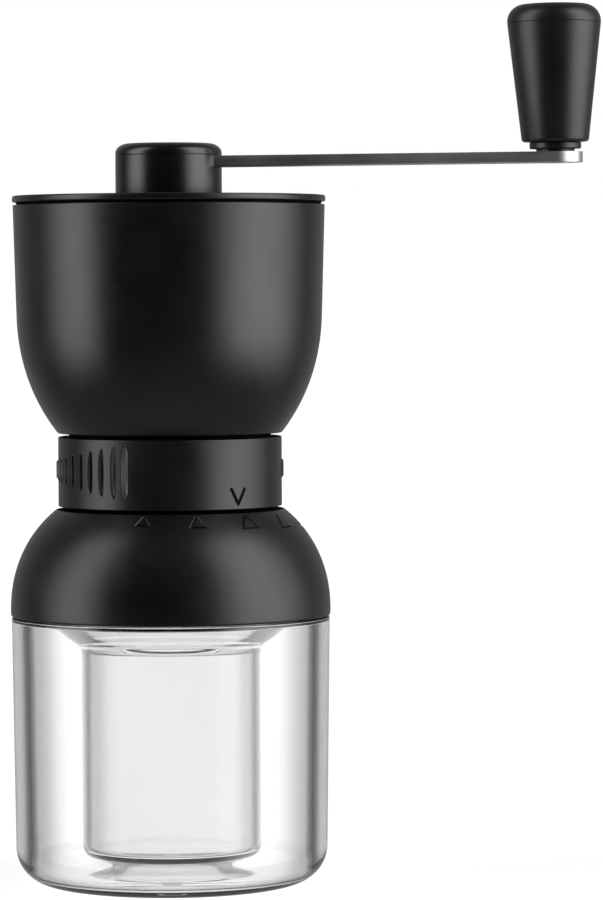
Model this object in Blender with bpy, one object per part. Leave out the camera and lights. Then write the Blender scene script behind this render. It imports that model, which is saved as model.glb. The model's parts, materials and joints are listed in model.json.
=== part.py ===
"""Hand crank coffee grinder with a double-walled glass jar.

All driving dimensions are in millimetres; MM turns them into metres.
Z runs up the axis of the body, with z = 0 on the surface the jar stands on.
The crank arm points along +X at rest.
"""
import bpy
import bmesh
import math
from mathutils import Matrix, Vector

MM = 0.001

# ---- driving dimensions ------------------------------------------------------
BIG = 28                 # segments round the large turned pieces
MID = 18                 # segments round the middle-sized ones
SMALL = 12               # segments round pins and screws
GAP = 0.3                # assembly gap between neighbouring pieces

JAR_R_TOP = 44.90        # outer radius of the jar just under its shoulder
JAR_R_LOW = 44.05        # outer radius above the bottom corner
JAR_CORNER = 10.5        # bottom corner radius
JAR_SHOULDER_Z = 75.2
JAR_WALL = 3.9
JAR_NECK_R = 41.2
JAR_NECK_IN_R = 37.5
JAR_RIM_Z = 82.0
CUP_R = 23.6             # inner cup, coffee side
CUP_WALL = 1.7
CUP_FLOOR_Z = 6.1          # lowest point of the dished floor
FUNNEL_TOP_Z = 77.0      # top of the slope inside the neck
FUNNEL_LOW_Z = 69.4      # where the slope meets the cup wall
VENT_R = 3.0

DOME_BASE_Z = 75.7
DOME_TOP_Z = 105.7
DOME_R = 45.15
DOME_TOP_R = 32.2
SHELL = 2.5
GUIDE_IN_R = 25.3        # guide tube that the burr carrier slides in
GUIDE_OUT_R = 27.0
GUIDE_TOP_Z = 126.8
FLANGE_Z = 119.0
THROAT_R = 20.5

RING_R = 31.55
RING_Z0 = 106.7
RING_Z1 = 126.2
RING_TURN_DEG = 51.5     # each way from the middle mark
CAM_LIFT_PER_RAD = 0.7   # mm that the burr carrier rises per radian of ring turn
PIN_Z = 114.0
PIN_R = 2.0
PIN_AZ = (90.0, 210.0, 330.0)
SCREW_AZ = (30.0, 150.0, 270.0)

HOPPER_Z0 = 127.3
HOPPER_RIM_Z = 191.5
HOPPER_NECK_R = 28.5
HOPPER_R0 = 31.8
HOPPER_RIM_R = 43.95

LID_R = 44.16
LID_TOP_Z = 194.1
LID_EDGE_Z = 192.5

HUB_R = 15.0
HUB_Z0 = 194.4
HUB_SEAM_Z = 205.7
HUB_TOP_Z = 209.0
SLEEVE_R = 7.6

SHAFT_R = 4.0
HEX_AF = 6.0

ARM_Z = 203.65           # middle of the strip on the hub axis
ARM_T = 3.0
ARM_HALF_W = 7.7
ARM_RISE_DEG = 0.5
KNOB_X = 109.0

CONE_R = 18.6            # largest radius of the cone burr
CONE_SLOPE = 0.565
CONE_Z = 93.0
BURR_GAP = 0.62          # radial gap between the burrs at the middle setting


# ---- helpers -----------------------------------------------------------------
def clear_objects():
    for ob in list(bpy.data.objects):
        bpy.data.objects.remove(ob, do_unlink=True)


def material(name, color, rough, metal=0.0, **extra):
    m = bpy.data.materials.new(name)
    m.use_nodes = True
    b = m.node_tree.nodes["Principled BSDF"]
    b.inputs["Base Color"].default_value = (*color, 1.0)
    b.inputs["Roughness"].default_value = rough
    b.inputs["Metallic"].default_value = metal
    for key, val in extra.items():
        b.inputs[key.replace("_", " ")].default_value = val
    m.diffuse_color = (*color, 1.0)
    return m


def finish_mesh(name, bm, mat, angle=32.0):
    bmesh.ops.remove_doubles(bm, verts=bm.verts, dist=1e-7)
    bmesh.ops.dissolve_degenerate(bm, edges=bm.edges, dist=1e-7)
    bmesh.ops.recalc_face_normals(bm, faces=bm.faces)
    me = bpy.data.meshes.new(name)
    bm.to_mesh(me)
    bm.free()
    me.materials.append(mat)
    me.shade_smooth()
    me.set_sharp_from_angle(angle=math.radians(angle))
    ob = bpy.data.objects.new(name, me)
    bpy.context.scene.collection.objects.link(ob)
    return ob


def lathe(name, pts, mat, segs=BIG, closed=True):
    """Turn a profile of (radius, height) points in mm about Z."""
    bm = bmesh.new()
    vs = [bm.verts.new((r * MM, 0.0, z * MM)) for r, z in pts]
    es = [bm.edges.new((a, b)) for a, b in zip(vs, vs[1:])]
    if closed:
        es.append(bm.edges.new((vs[-1], vs[0])))
    bmesh.ops.spin(bm, geom=vs + es, cent=(0, 0, 0), axis=(0, 0, 1),
                   angle=2 * math.pi, steps=segs, use_merge=True)
    return finish_mesh(name, bm, mat)


def solid_lathe(name, pts, mat, segs=MID):
    """Turn an open profile whose two ends lie on the axis."""
    full = [(0.0, pts[0][1])] + list(pts) + [(0.0, pts[-1][1])]
    return lathe(name, full, mat, segs, closed=False)


def toothed(name, rows, mat, segs, teeth):
    """Turn rows of (radius, height, depth, twist), with saw teeth of the given depth."""
    bm = bmesh.new()
    grid = []
    for r, z, depth, twist in rows:
        row = []
        for i in range(segs):
            phi = 2 * math.pi * i / segs
            saw = (teeth * i / segs) % 1.0
            rr = r + depth * (1.0 - saw)
            a = phi + twist
            row.append(bm.verts.new((rr * math.cos(a) * MM, rr * math.sin(a) * MM, z * MM)))
        grid.append(row)
    n = len(grid)
    for k in range(n):
        for i in range(segs):
            j = (i + 1) % segs
            bm.faces.new((grid[k][i], grid[k][j], grid[(k + 1) % n][j], grid[(k + 1) % n][i]))
    bmesh.ops.triangulate(bm, faces=bm.faces)
    return finish_mesh(name, bm, mat, 25.0)


def prism(name, outline, z0, z1, mat):
    """Extrude a closed outline of (x, y) points from z0 to z1."""
    bm = bmesh.new()
    vs = [bm.verts.new((x * MM, y * MM, z0 * MM)) for x, y in outline]
    face = bm.faces.new(vs)
    out = bmesh.ops.extrude_face_region(bm, geom=[face])
    up = [g for g in out["geom"] if isinstance(g, bmesh.types.BMVert)]
    bmesh.ops.translate(bm, verts=up, vec=(0, 0, (z1 - z0) * MM))
    return finish_mesh(name, bm, mat)


def ngon(n, r, phase=0.0):
    return [(r * math.cos(phase + 2 * math.pi * i / n), r * math.sin(phase + 2 * math.pi * i / n))
            for i in range(n)]


def stadium(x0, x1, r, n=10):
    """Outline of a strip with round ends centred on (x0, 0) and (x1, 0)."""
    right = [(x1 + r * math.cos(a), r * math.sin(a))
             for a in (-math.pi / 2 + math.pi * i / n for i in range(n + 1))]
    left = [(x0 + r * math.cos(a), r * math.sin(a))
            for a in (math.pi / 2 + math.pi * i / n for i in range(n + 1))]
    return right + left


def box(name, size, centre, mat=None, az=0.0):
    bm = bmesh.new()
    bmesh.ops.create_cube(bm, size=1.0)
    bmesh.ops.scale(bm, vec=[s * MM for s in size], verts=bm.verts)
    bmesh.ops.translate(bm, vec=[c * MM for c in centre], verts=bm.verts)
    bmesh.ops.rotate(bm, cent=(0, 0, 0), matrix=Matrix.Rotation(math.radians(az), 3, 'Z'),
                     verts=bm.verts)
    return finish_mesh(name, bm, mat or MAT["cutter"])


def radial_rod(name, r, x0, x1, z, az, mat, segs=SMALL):
    """Round rod along a radius of the body, from x0 to x1 at height z."""
    bm = bmesh.new()
    bmesh.ops.create_cone(bm, cap_ends=True, segments=segs, radius1=r * MM, radius2=r * MM,
                          depth=(x1 - x0) * MM)
    bmesh.ops.rotate(bm, cent=(0, 0, 0), matrix=Matrix.Rotation(0.21, 3, 'Z'), verts=bm.verts)
    bmesh.ops.rotate(bm, cent=(0, 0, 0), matrix=Matrix.Rotation(math.pi / 2, 3, 'Y'), verts=bm.verts)
    bmesh.ops.translate(bm, vec=((x0 + x1) / 2 * MM, 0, z * MM), verts=bm.verts)
    bmesh.ops.rotate(bm, cent=(0, 0, 0), matrix=Matrix.Rotation(math.radians(az), 3, 'Z'),
                     verts=bm.verts)
    return finish_mesh(name, bm, mat)


def upright_rod(name, r, x, y, z0, z1, mat, segs=SMALL):
    return prism(name, [(x + px, y + py) for px, py in ngon(segs, r, 0.21)], z0, z1, mat)


def combine(target, tool, op, name):
    tool.hide_render = True
    tool.display_type = 'WIRE'
    m = target.modifiers.new(name, 'BOOLEAN')
    m.operation = op
    m.solver = 'EXACT'
    m.object = tool


def cut(target, tool):
    combine(target, tool, 'DIFFERENCE', "cut_" + tool.name)


def join(target, tool):
    combine(target, tool, 'UNION', "join_" + tool.name)


def bezier(p0, p1, p2, p3, n):
    """n + 1 points along a cubic, as (radius, height)."""
    out = []
    for i in range(n + 1):
        t = i / n
        a, b, c, d = (1 - t) ** 3, 3 * (1 - t) ** 2 * t, 3 * (1 - t) * t * t, t ** 3
        out.append((a * p0[0] + b * p1[0] + c * p2[0] + d * p3[0],
                    a * p0[1] + b * p1[1] + c * p2[1] + d * p3[1]))
    return out


def arc(cr, cz, r, a0, a1, n, rz=None):
    """n + 1 points on an arc about (cr, cz), angles in degrees from +radius towards +height."""
    rz = r if rz is None else rz
    return [(cr + r * math.cos(math.radians(a0 + (a1 - a0) * i / n)),
             cz + rz * math.sin(math.radians(a0 + (a1 - a0) * i / n))) for i in range(n + 1)]


def offset(pts, d):
    """Move each point of a profile by d to the left of its direction of travel."""
    out = []
    for i, p in enumerate(pts):
        a = pts[max(i - 1, 0)]
        b = pts[min(i + 1, len(pts) - 1)]
        dx, dz = b[0] - a[0], b[1] - a[1]
        length = math.hypot(dx, dz)
        out.append((p[0] - dz / length * d, p[1] + dx / length * d))
    return out


def polar(r, az):
    a = math.radians(az)
    return r * math.cos(a), r * math.sin(a)


def empty(name, loc, rot=(0, 0, 0), parent=None):
    e = bpy.data.objects.new(name, None)
    e.location = [v * MM for v in loc]
    e.rotation_euler = rot
    e.parent = parent
    e.empty_display_size = 0.01
    bpy.context.scene.collection.objects.link(e)
    return e


def attach(ob, parent):
    """Parent ob to an empty; its mesh is already in the empty's own space."""
    ob.parent = parent
    return ob


# ---- profile curves ----------------------------------------------------------
def dome_curve(n):
    """Outer face of the lower housing, from its top edge down to its base."""
    return bezier((DOME_TOP_R, DOME_TOP_Z), (DOME_TOP_R + 3.4, DOME_TOP_Z - 2.6),
                  (DOME_R + 0.3, 94.1), (DOME_R, 77.0), n)


def bowl_curve(n):
    """Outer face of the hopper's bowl, from its foot up to where the wall runs nearly straight."""
    return bezier((HOPPER_R0, HOPPER_Z0 + 0.2), (37.93, 135.1), (42.79, 145.6), (43.05, 160.0), n)


def cone_radius(z):
    return CONE_R - CONE_SLOPE * (z - CONE_Z)


clear_objects()
MAT = {
    "body_plastic": material("body_plastic", (0.012, 0.012, 0.013), 0.42),
    "ring_plastic": material("ring_plastic", (0.014, 0.014, 0.015), 0.48),
    "acetal": material("acetal", (0.62, 0.61, 0.58), 0.35),
    "steel": material("steel", (0.62, 0.62, 0.63), 0.28, 1.0),
    "satin_steel": material("satin_steel", (0.55, 0.55, 0.56), 0.38, 1.0),
    "bronze": material("bronze", (0.45, 0.30, 0.14), 0.40, 1.0),
    "ceramic": material("ceramic", (0.83, 0.82, 0.78), 0.30),
    "silicone": material("silicone", (0.04, 0.04, 0.042), 0.60),
    "clear_silicone": material("clear_silicone", (0.75, 0.76, 0.76), 0.45),
    "glass": material("glass", (0.95, 0.97, 0.97), 0.02, Transmission_Weight=1.0, IOR=1.47),
    "cutter": material("cutter", (0.8, 0.1, 0.1), 0.5),
}

# ---- jar: root body ----------------------------------------------------------
def jar_outer(z):
    t = (z - JAR_CORNER) / (JAR_SHOULDER_Z - JAR_CORNER)
    return JAR_R_LOW + (JAR_R_TOP - JAR_R_LOW) * t


wall_in = JAR_R_TOP - JAR_WALL - 0.6
jar_profile = (
    [(VENT_R, 0.0)]
    + arc(JAR_R_LOW - JAR_CORNER, JAR_CORNER, JAR_CORNER, -90, 0, 4)
    + [(JAR_R_TOP, JAR_SHOULDER_Z - 1.0)]
    + arc(JAR_R_TOP - 1.0, JAR_SHOULDER_Z - 1.0, 1.0, 45, 90, 1)
    + [(JAR_NECK_R, JAR_SHOULDER_Z), (JAR_NECK_R, JAR_RIM_Z - 0.8), (JAR_NECK_R - 0.8, JAR_RIM_Z),
       (JAR_NECK_IN_R, JAR_RIM_Z), (JAR_NECK_IN_R, FUNNEL_TOP_Z)]
    # funnel down to the cup, then the cup's wall and its shallow dished floor
    + [(CUP_R + 2.2, FUNNEL_LOW_Z + 1.2), (CUP_R + 0.6, FUNNEL_LOW_Z - 0.3), (CUP_R, FUNNEL_LOW_Z - 2.7)]
    + [(CUP_R, CUP_FLOOR_Z + 5.8), (CUP_R - 0.8, CUP_FLOOR_Z + 3.9), (CUP_R - 6.2, CUP_FLOOR_Z + 1.6),
       (CUP_R - 14.0, CUP_FLOOR_Z + 0.4), (0.0, CUP_FLOOR_Z)]
)
cavity = (
    [(0.0, CUP_FLOOR_Z - CUP_WALL), (8.0, CUP_FLOOR_Z - CUP_WALL + 0.2), (17.0, CUP_FLOOR_Z - 0.3),
     (CUP_R + 0.5, CUP_FLOOR_Z + 2.7), (CUP_R + CUP_WALL, CUP_FLOOR_Z + 5.2)]
    + [(CUP_R + CUP_WALL, FUNNEL_LOW_Z - 3.9), (CUP_R + CUP_WALL + 0.6, FUNNEL_LOW_Z - 2.1),
       (27.3, FUNNEL_LOW_Z - 1.0), (34.5, 72.6), (wall_in - 0.8, 72.6), (wall_in, 71.7)]
    + arc(wall_in - 0.8 - 4.0, 3.0 + 4.0, 4.0, 0, -90, 3)
    + [(VENT_R, 3.0)]
)
# the outer skin and the sealed space are one closed loop, joined at the vent
jar_loop = [(r, z) for r, z in jar_profile]


def double_wall(name, outer, inner, mat, segs):
    """Turn the outer skin (vent, outside, neck, cup floor) and the cavity (cup underside to vent)."""
    bm = bmesh.new()
    for pts in (outer, inner):
        vs = [bm.verts.new((r * MM, 0.0, z * MM)) for r, z in pts]
        es = [bm.edges.new((a, b)) for a, b in zip(vs, vs[1:])]
        bmesh.ops.spin(bm, geom=vs + es, cent=(0, 0, 0), axis=(0, 0, 1),
                       angle=2 * math.pi, steps=segs, use_merge=True)
    vs = [bm.verts.new((outer[0][0] * MM, 0, outer[0][1] * MM)),
          bm.verts.new((inner[-1][0] * MM, 0, inner[-1][1] * MM))]
    es = [bm.edges.new(vs)]
    bmesh.ops.spin(bm, geom=vs + es, cent=(0, 0, 0), axis=(0, 0, 1),
                   angle=2 * math.pi, steps=segs, use_merge=True)
    return finish_mesh(name, bm, mat)


double_wall("glass_jar", jar_loop, cavity, MAT["glass"], BIG)
solid_lathe("jar_vent_plug", [(VENT_R - GAP, 0.0), (VENT_R - GAP, 3.2), (1.9, 3.7)],
            MAT["clear_silicone"], SMALL)

# ---- lower housing and everything fixed to it: head body ---------------------
dome = dome_curve(6)
inner_dome = [p for p in offset(dome, -SHELL) if 88.0 < p[1] < 102.6]
housing = lathe("lower_housing", (
    [(THROAT_R, GUIDE_TOP_Z), (THROAT_R, FLANGE_Z), (GUIDE_IN_R, FLANGE_Z), (GUIDE_IN_R, 87.5),
     (GUIDE_OUT_R, 87.5), (GUIDE_OUT_R, 101.8), (GUIDE_OUT_R + 1.2, 103.0), (31.2, 103.0)]
    + inner_dome
    + [(40.8, 87.4), (41.9, 87.4), (41.9, 84.3), (42.6, 84.3), (42.6, DOME_BASE_Z),
       (DOME_R - 0.5, DOME_BASE_Z)]
    + dome[::-1]
    + [(GUIDE_OUT_R, DOME_TOP_Z), (GUIDE_OUT_R, GUIDE_TOP_Z)]
), MAT["body_plastic"])
for i, az in enumerate(SCREW_AZ):
    x, y = polar(34.0, az)
    join(housing, upright_rod(f"housing_boss_{i}", 3.3, x, y, 87.6, 99.4, MAT["cutter"], 12))
DETENT_R, DETENT_AZ = 29.6, 90.0
dx, dy = polar(DETENT_R, DETENT_AZ)
join(housing, upright_rod("detent_boss", 3.1, dx, dy, 94.5, 104.0, MAT["cutter"], 12))
for i, az in enumerate(SCREW_AZ):
    x, y = polar(34.0, az)
    cut(housing, upright_rod(f"housing_pilot_{i}", 1.5, x, y, 80.0, 97.0, MAT["cutter"], 8))
    x, y = polar(23.7, az)
    cut(housing, upright_rod(f"flange_pilot_{i}", 1.5, x, y, 120.4, 130.0, MAT["cutter"], 8))
cut(housing, upright_rod("detent_pocket", 1.9, dx, dy, 96.2, 110.0, MAT["cutter"], 12))
for i, az in enumerate(PIN_AZ):
    cut(housing, box(f"guide_slot_{i}", (5.0, 4.8, 6.2), (26.2, 0, PIN_Z), az=az))


def ball(name, r, x, y, z, mat):
    bm = bmesh.new()
    bmesh.ops.create_uvsphere(bm, u_segments=12, v_segments=8, radius=r * MM)
    bmesh.ops.translate(bm, vec=(x * MM, y * MM, z * MM), verts=bm.verts)
    return finish_mesh(name, bm, mat, 60)


def coil(name, x, y, z0, z1, r, wire, turns, mat, per_turn=8, sides=4):
    """Compression spring: a wire swept along a helix about an upright axis."""
    bm = bmesh.new()
    n = int(turns * per_turn)
    rings = []
    for i in range(n + 1):
        a = 2 * math.pi * i / per_turn
        z = z0 + wire + (z1 - z0 - 2 * wire) * i / n
        ring = []
        for k in range(sides):
            b = 2 * math.pi * k / sides
            rr = r + wire * math.cos(b)
            ring.append(bm.verts.new(((x + rr * math.cos(a)) * MM, (y + rr * math.sin(a)) * MM,
                                      (z + wire * math.sin(b)) * MM)))
        rings.append(ring)
    for a, b in zip(rings, rings[1:]):
        for k in range(sides):
            bm.faces.new((a[k], a[(k + 1) % sides], b[(k + 1) % sides], b[k]))
    bm.faces.new(rings[0])
    bm.faces.new(rings[-1])
    return finish_mesh(name, bm, mat, 60)


ball("detent_ball", 1.55, dx, dy, 104.9, MAT["steel"])
coil("detent_spring", dx, dy, 96.5, 103.1, 1.25, 0.28, 5, MAT["steel"])


def spoked(name, ring_pts, hub_r0, hub_r1, hub_z0, hub_z1, arm_z0, arm_z1, arm_r1, mat):
    """A turned rim with a central bearing hub carried on three arms."""
    rim = lathe(name, ring_pts, mat, MID)
    join(rim, lathe(name + "_hub", [(hub_r0, hub_z0), (hub_r1, hub_z0), (hub_r1, hub_z1),
                                    (hub_r0, hub_z1)], MAT["cutter"], MID))
    for i, az in enumerate(PIN_AZ):
        length = arm_r1 - hub_r1 + 1.5
        join(rim, box(f"{name}_arm_{i}", (length, 5.3, arm_z1 - arm_z0),
                      (hub_r1 - 1.5 + length / 2, 0, (arm_z0 + arm_z1) / 2), az=az))
    return rim


lower = spoked("lower_bridge", [(22.9, 84.6), (41.6, 84.6), (41.6, 87.1), (24.9, 87.1),
                                (24.9, 89.2), (22.9, 89.2)],
               6.6, 9.5, 83.2, 88.7, 84.9, 88.2, 23.6, MAT["body_plastic"])
for i, az in enumerate(SCREW_AZ):
    x, y = polar(34.0, az)
    cut(lower, upright_rod(f"plate_hole_{i}", 1.6, x, y, 80.0, 90.0, MAT["cutter"], 8))
lathe("lower_bush", [(4.3, 82.9), (6.3, 82.9), (6.3, 89.0), (8.3, 89.0), (8.3, 90.0), (4.3, 90.0)],
      MAT["bronze"], 20)
lathe("jar_gasket", [(37.7, 82.3), (41.5, 82.3), (41.5, 77.2), (42.3, 77.2), (42.3, 84.3),
                     (37.7, 84.3)], MAT["silicone"], BIG)


def screw(name, x, y, tip_z, seat_z, r, head_r, head_h, mat, up=True):
    """Pan-head screw; its head stands on the up side of seat_z, or hangs below it."""
    s = 1 if up else -1
    pts = [(r * 0.6, tip_z), (r, tip_z + s * 0.8), (r, seat_z), (head_r, seat_z),
           (head_r, seat_z + s * head_h * 0.6), (head_r * 0.75, seat_z + s * head_h)]
    ob = solid_lathe(name, pts, mat, 8)
    for v in ob.data.vertices:
        v.co.x += x * MM
        v.co.y += y * MM
    return ob


for i, az in enumerate(SCREW_AZ):
    x, y = polar(34.0, az)
    screw(f"housing_screw_{i + 1}", x, y, 95.5, 84.3, 1.2, 2.4, 1.4, MAT["steel"], up=False)

# hopper and the bridge that carries the upper bearing
bowl = bowl_curve(5)
inner_bowl = [p for p in offset(bowl, SHELL) if p[1] > 131.2]
hopper = lathe("hopper", (
    [(THROAT_R, 129.6), (THROAT_R, 127.1), (27.3, 127.1), (27.3, 122.0), (HOPPER_NECK_R, 122.0),
     (HOPPER_NECK_R, HOPPER_Z0), (HOPPER_R0 - 0.4, HOPPER_Z0)]
    + bowl
    + [(HOPPER_RIM_R, HOPPER_RIM_Z), (HOPPER_RIM_R - SHELL, HOPPER_RIM_Z)]
    + inner_bowl[::-1]
    + [(28.4, 129.6)]
), MAT["body_plastic"])
upper = spoked("upper_bridge", [(20.8, 129.9), (26.6, 129.9), (26.6, 132.0), (20.8, 132.4)],
               6.6, 9.5, 129.2, 135.7, 130.2, 133.6, 21.6, MAT["body_plastic"])
for i, az in enumerate(SCREW_AZ):
    x, y = polar(23.7, az)
    cut(hopper, upright_rod(f"floor_hole_{i}", 1.6, x, y, 125.0, 132.0, MAT["cutter"], 8))
    cut(upper, upright_rod(f"rim_hole_{i}", 1.6, x, y, 125.0, 135.0, MAT["cutter"], 8))
    screw(f"hopper_screw_{i + 1}", x, y, 121.0, 132.7, 1.2, 2.3, 1.4, MAT["steel"])
lathe("upper_bush", [(4.3, 128.9), (6.3, 128.9), (6.3, 136.0), (4.3, 136.0)], MAT["bronze"], 20)

# ---- grind-setting ring ------------------------------------------------------
lathe("adjusting_ring", [
    (27.4, RING_Z0), (RING_R, RING_Z0), (RING_R, RING_Z1), (28.9, RING_Z1), (28.9, 124.2), (29.7, 123.4), (29.7, 108.9),
    (27.4, 108.9)], MAT["ring_plastic"])
cam = lathe("cam_sleeve", [(27.3, 109.2), (29.4, 109.2), (29.4, 121.4), (27.3, 121.4)],
            MAT["acetal"])


def helical_cutter(name, az, half_deg, half_h, r0, r1, n=9):
    """Slot block that falls by CAM_LIFT_PER_RAD for each radian of turn."""
    bm = bmesh.new()
    rings = []
    for i in range(n + 1):
        phi = math.radians(-half_deg + 2 * half_deg * i / n)
        z = PIN_Z - CAM_LIFT_PER_RAD * phi
        a = phi + math.radians(az)
        rings.append([bm.verts.new((r * math.cos(a) * MM, r * math.sin(a) * MM, (z + h) * MM))
                      for r, h in ((r0, -half_h), (r1, -half_h), (r1, half_h), (r0, half_h))])
    for a, b in zip(rings, rings[1:]):
        for k in range(4):
            bm.faces.new((a[k], a[(k + 1) % 4], b[(k + 1) % 4], b[k]))
    bm.faces.new(rings[0])
    bm.faces.new(rings[-1])
    return finish_mesh(name, bm, MAT["cutter"])


slot_half = RING_TURN_DEG + math.degrees(PIN_R / 27.3) + 1.0
for i, az in enumerate(PIN_AZ):
    cut(cam, helical_cutter(f"cam_slot_{i}", az, slot_half, PIN_R + 0.4, 26.5, 30.2))

# ---- burr carrier: rises and falls with the ring -----------------------------
carrier = lathe("burr_carrier", [
    (23.3, 90.4), (25.0, 90.4), (25.0, 117.0), (23.8, 117.0), (17.6, 113.6), (17.6, 110.9),
    (23.3, 110.9)], MAT["acetal"])
for i, az in enumerate(PIN_AZ):
    cut(carrier, radial_rod(f"pin_hole_{i}", PIN_R + GAP, 22.5, 26.5, PIN_Z, az, MAT["cutter"], 12))
    radial_rod(f"cam_pin_{i + 1}", PIN_R, 22.8, 28.9, PIN_Z, az, MAT["steel"], SMALL)

burr_rows = []
BURR_TURN = 0.55


def twist_at(z):
    return BURR_TURN * (z - CONE_Z) / 19.0


for z in (92.7, 96.5, 100.3, 104.0):
    burr_rows.append((cone_radius(z) + BURR_GAP, z, 0.7, twist_at(z)))
burr_rows += [(15.2, 110.6, 0.9, twist_at(110.6)), (22.9, 110.6, 0.0, twist_at(110.6)),
              (22.9, 92.7, 0.0, twist_at(92.7))]
toothed("ring_burr", burr_rows, MAT["ceramic"], 40, 10)
lathe("burr_retainer", [(20.6, 91.0), (23.0, 91.0), (23.0, 92.3), (20.6, 92.3)], MAT["steel"], MID)

# ---- shaft, driven by the crank ----------------------------------------------
cone_rows = [(4.3, 90.3, 0.0, 0.0), (17.2, 90.3, 0.0, 0.0), (17.9, 92.6, 0.7, 0.0)]
for z in (96.5, 100.3, 104.2, 108.0):
    depth = 0.8 + 0.09 * (z - CONE_Z)
    cone_rows.append((cone_radius(z) - depth, z, depth, twist_at(z)))
cone_rows += [(7.4, 112.3, 0.9, twist_at(112.3)), (4.3, 112.3, 0.0, twist_at(112.3))]
cone = toothed("cone_burr", cone_rows, MAT["ceramic"], 32, 8)
cut(cone, box("burr_slot", (40.0, 3.0, 6.0), (0, 0, 113.1)))

shaft = solid_lathe("drive_shaft", [
    (2.6, 77.5), (3.0, 78.0), (3.0, 82.2), (SHAFT_R, 82.4), (SHAFT_R, 136.15), (3.5, 136.15),
    (3.5, 137.45), (SHAFT_R, 137.45), (SHAFT_R, 185.6), (2.6, 186.7)], MAT["steel"], 20)
hex_r = HEX_AF / 2 / math.cos(math.pi / 6)
join(shaft, prism("shaft_hex", ngon(6, hex_r, 0.1), 185.0, 201.0, MAT["cutter"]))
cut(shaft, radial_rod("cross_hole", 1.5, -8.0, 8.0, 111.6, 0.0, MAT["cutter"], 12))
radial_rod("drive_pin", 1.2, -6.5, 6.5, 111.6, 0.0, MAT["steel"], 12)
lathe("shaft_washer", [(3.3, 81.5), (7.0, 81.5), (7.0, 82.1), (3.3, 82.1)], MAT["steel"], 20)


def hex_nut(name, r_in, af, z0, z1, mat):
    ob = prism(name, ngon(6, af / 2 / math.cos(math.pi / 6)), z0, z1, mat)
    cut(ob, upright_rod(name + "_bore", r_in, 0, 0, z0 - 2, z1 + 2, MAT["cutter"], 16))
    return ob


hex_nut("shaft_nut", 3.3, 10.0, 78.1, 81.2, MAT["steel"])


def clip(name, r0, r1, z0, z1, mat, mouth=3.0, az=270.0):
    """Open retaining clip: a flat ring with a mouth cut through one side."""
    ob = lathe(name, [(r0, z0), (r1, z0), (r1, z1), (r0, z1)], mat, 16)
    cut(ob, box(name + "_mouth", (r1 + 2, mouth, 4 * (z1 - z0)),
                ((r1 + 2) / 2, 0, (z0 + z1) / 2), az=az))
    return ob


clip("shaft_clip", 3.8, 6.4, 136.4, 137.2, MAT["steel"])

# ---- lid ---------------------------------------------------------------------
lathe("hopper_lid", (
    [(10.5, LID_TOP_Z), (10.5, 186.9), (13.0, 186.9), (13.0, 192.0), (38.8, 192.0),
     (38.8, 186.0), (41.0, 186.0), (41.0, 187.5), (39.9, 187.5), (39.9, 189.7), (41.0, 189.7),
     (41.0, 191.8), (42.0, 191.8), (42.0, LID_EDGE_Z), (LID_R, LID_EDGE_Z)]
    + arc(LID_R - 0.8, LID_EDGE_Z + 0.7, 0.8, 0, 90, 2, 0.9)
), MAT["body_plastic"])
lathe("lid_bush", [(7.9, 186.6), (10.2, 186.6), (10.2, 194.2), (7.9, 194.2)], MAT["bronze"], 24)
lathe("lid_seal", [(40.15, 187.8), (40.9, 187.8), (41.15, 188.6), (40.9, 189.4), (40.15, 189.4)],
      MAT["silicone"])

# ---- crank: hub, arm and the knob's spindle ----------------------------------
hub = lathe("crank_hub", [
    (5.9, 184.4), (SLEEVE_R, 184.4), (SLEEVE_R, 184.9), (7.0, 184.9), (7.0, 186.3),
    (SLEEVE_R, 186.3), (SLEEVE_R, HUB_Z0), (HUB_R - 0.4, HUB_Z0), (HUB_R, HUB_Z0 + 0.4),
    (HUB_R, HUB_SEAM_Z - 0.15), (5.9, HUB_SEAM_Z - 0.15)], MAT["body_plastic"], MID)
HUB_SCREW_X = (-9.3, 9.8)
slot_tool = prism("arm_slot", stadium(-4.8, 30.0, ARM_HALF_W + GAP, 9), 201.8, 212.0, MAT["cutter"])
cut(hub, slot_tool)
for i, x in enumerate(HUB_SCREW_X):
    cut(hub, upright_rod(f"hub_pilot_{i}", 1.65, x, 0, 195.6, 204.0, MAT["cutter"], 8))
socket = lathe("hub_socket", [(4.6, 187.0), (5.6, 187.0), (5.6, 201.5), (4.6, 201.5)],
               MAT["steel"], 20)
socket_hex = hex_r + 0.35
hub_socket_core = prism("socket_core", ngon(20, 5.2), 187.2, 201.3, MAT["cutter"])
join(socket, hub_socket_core)
cut(socket, prism("socket_bore", ngon(6, socket_hex, 0.1), 180.0, 210.0, MAT["cutter"]))
clip("hub_clip", 7.3, 9.8, 185.1, 186.1, MAT["steel"])

hub_cap = solid_lathe("crank_hub_cap", (
    [(12.9, 207.0), (12.9, HUB_SEAM_Z + 0.15), (HUB_R - 0.15, HUB_SEAM_Z + 0.15)]
    + arc(HUB_R - 4.3, 206.3, 4.3, 0, 90, 3, 2.6)
    + [(5.0, HUB_TOP_Z)]), MAT["body_plastic"], MID)

arm_frame = empty("arm_frame", (0, 0, ARM_Z), (0, -math.radians(ARM_RISE_DEG), 0))
knob_frame = empty("knob_frame", (KNOB_X, 0, 0), parent=arm_frame)
arm = attach(prism("crank_arm", stadium(-4.8, KNOB_X, ARM_HALF_W, 11), -ARM_T / 2, ARM_T / 2,
                   MAT["satin_steel"]), arm_frame)
for i, x in enumerate(HUB_SCREW_X):
    cut(arm, attach(upright_rod(f"arm_hole_{i}", 1.8, x, 0, -4, 4, MAT["cutter"], 10), arm_frame))
cut(arm, attach(upright_rod("spindle_hole", 3.3, KNOB_X, 0, -4, 4, MAT["cutter"], 16), arm_frame))
for i, x in enumerate(HUB_SCREW_X):
    screw(f"hub_screw_{i + 1}", x, 0, 196.5, 205.5, 1.3, 2.6, 1.1, MAT["steel"])

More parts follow.
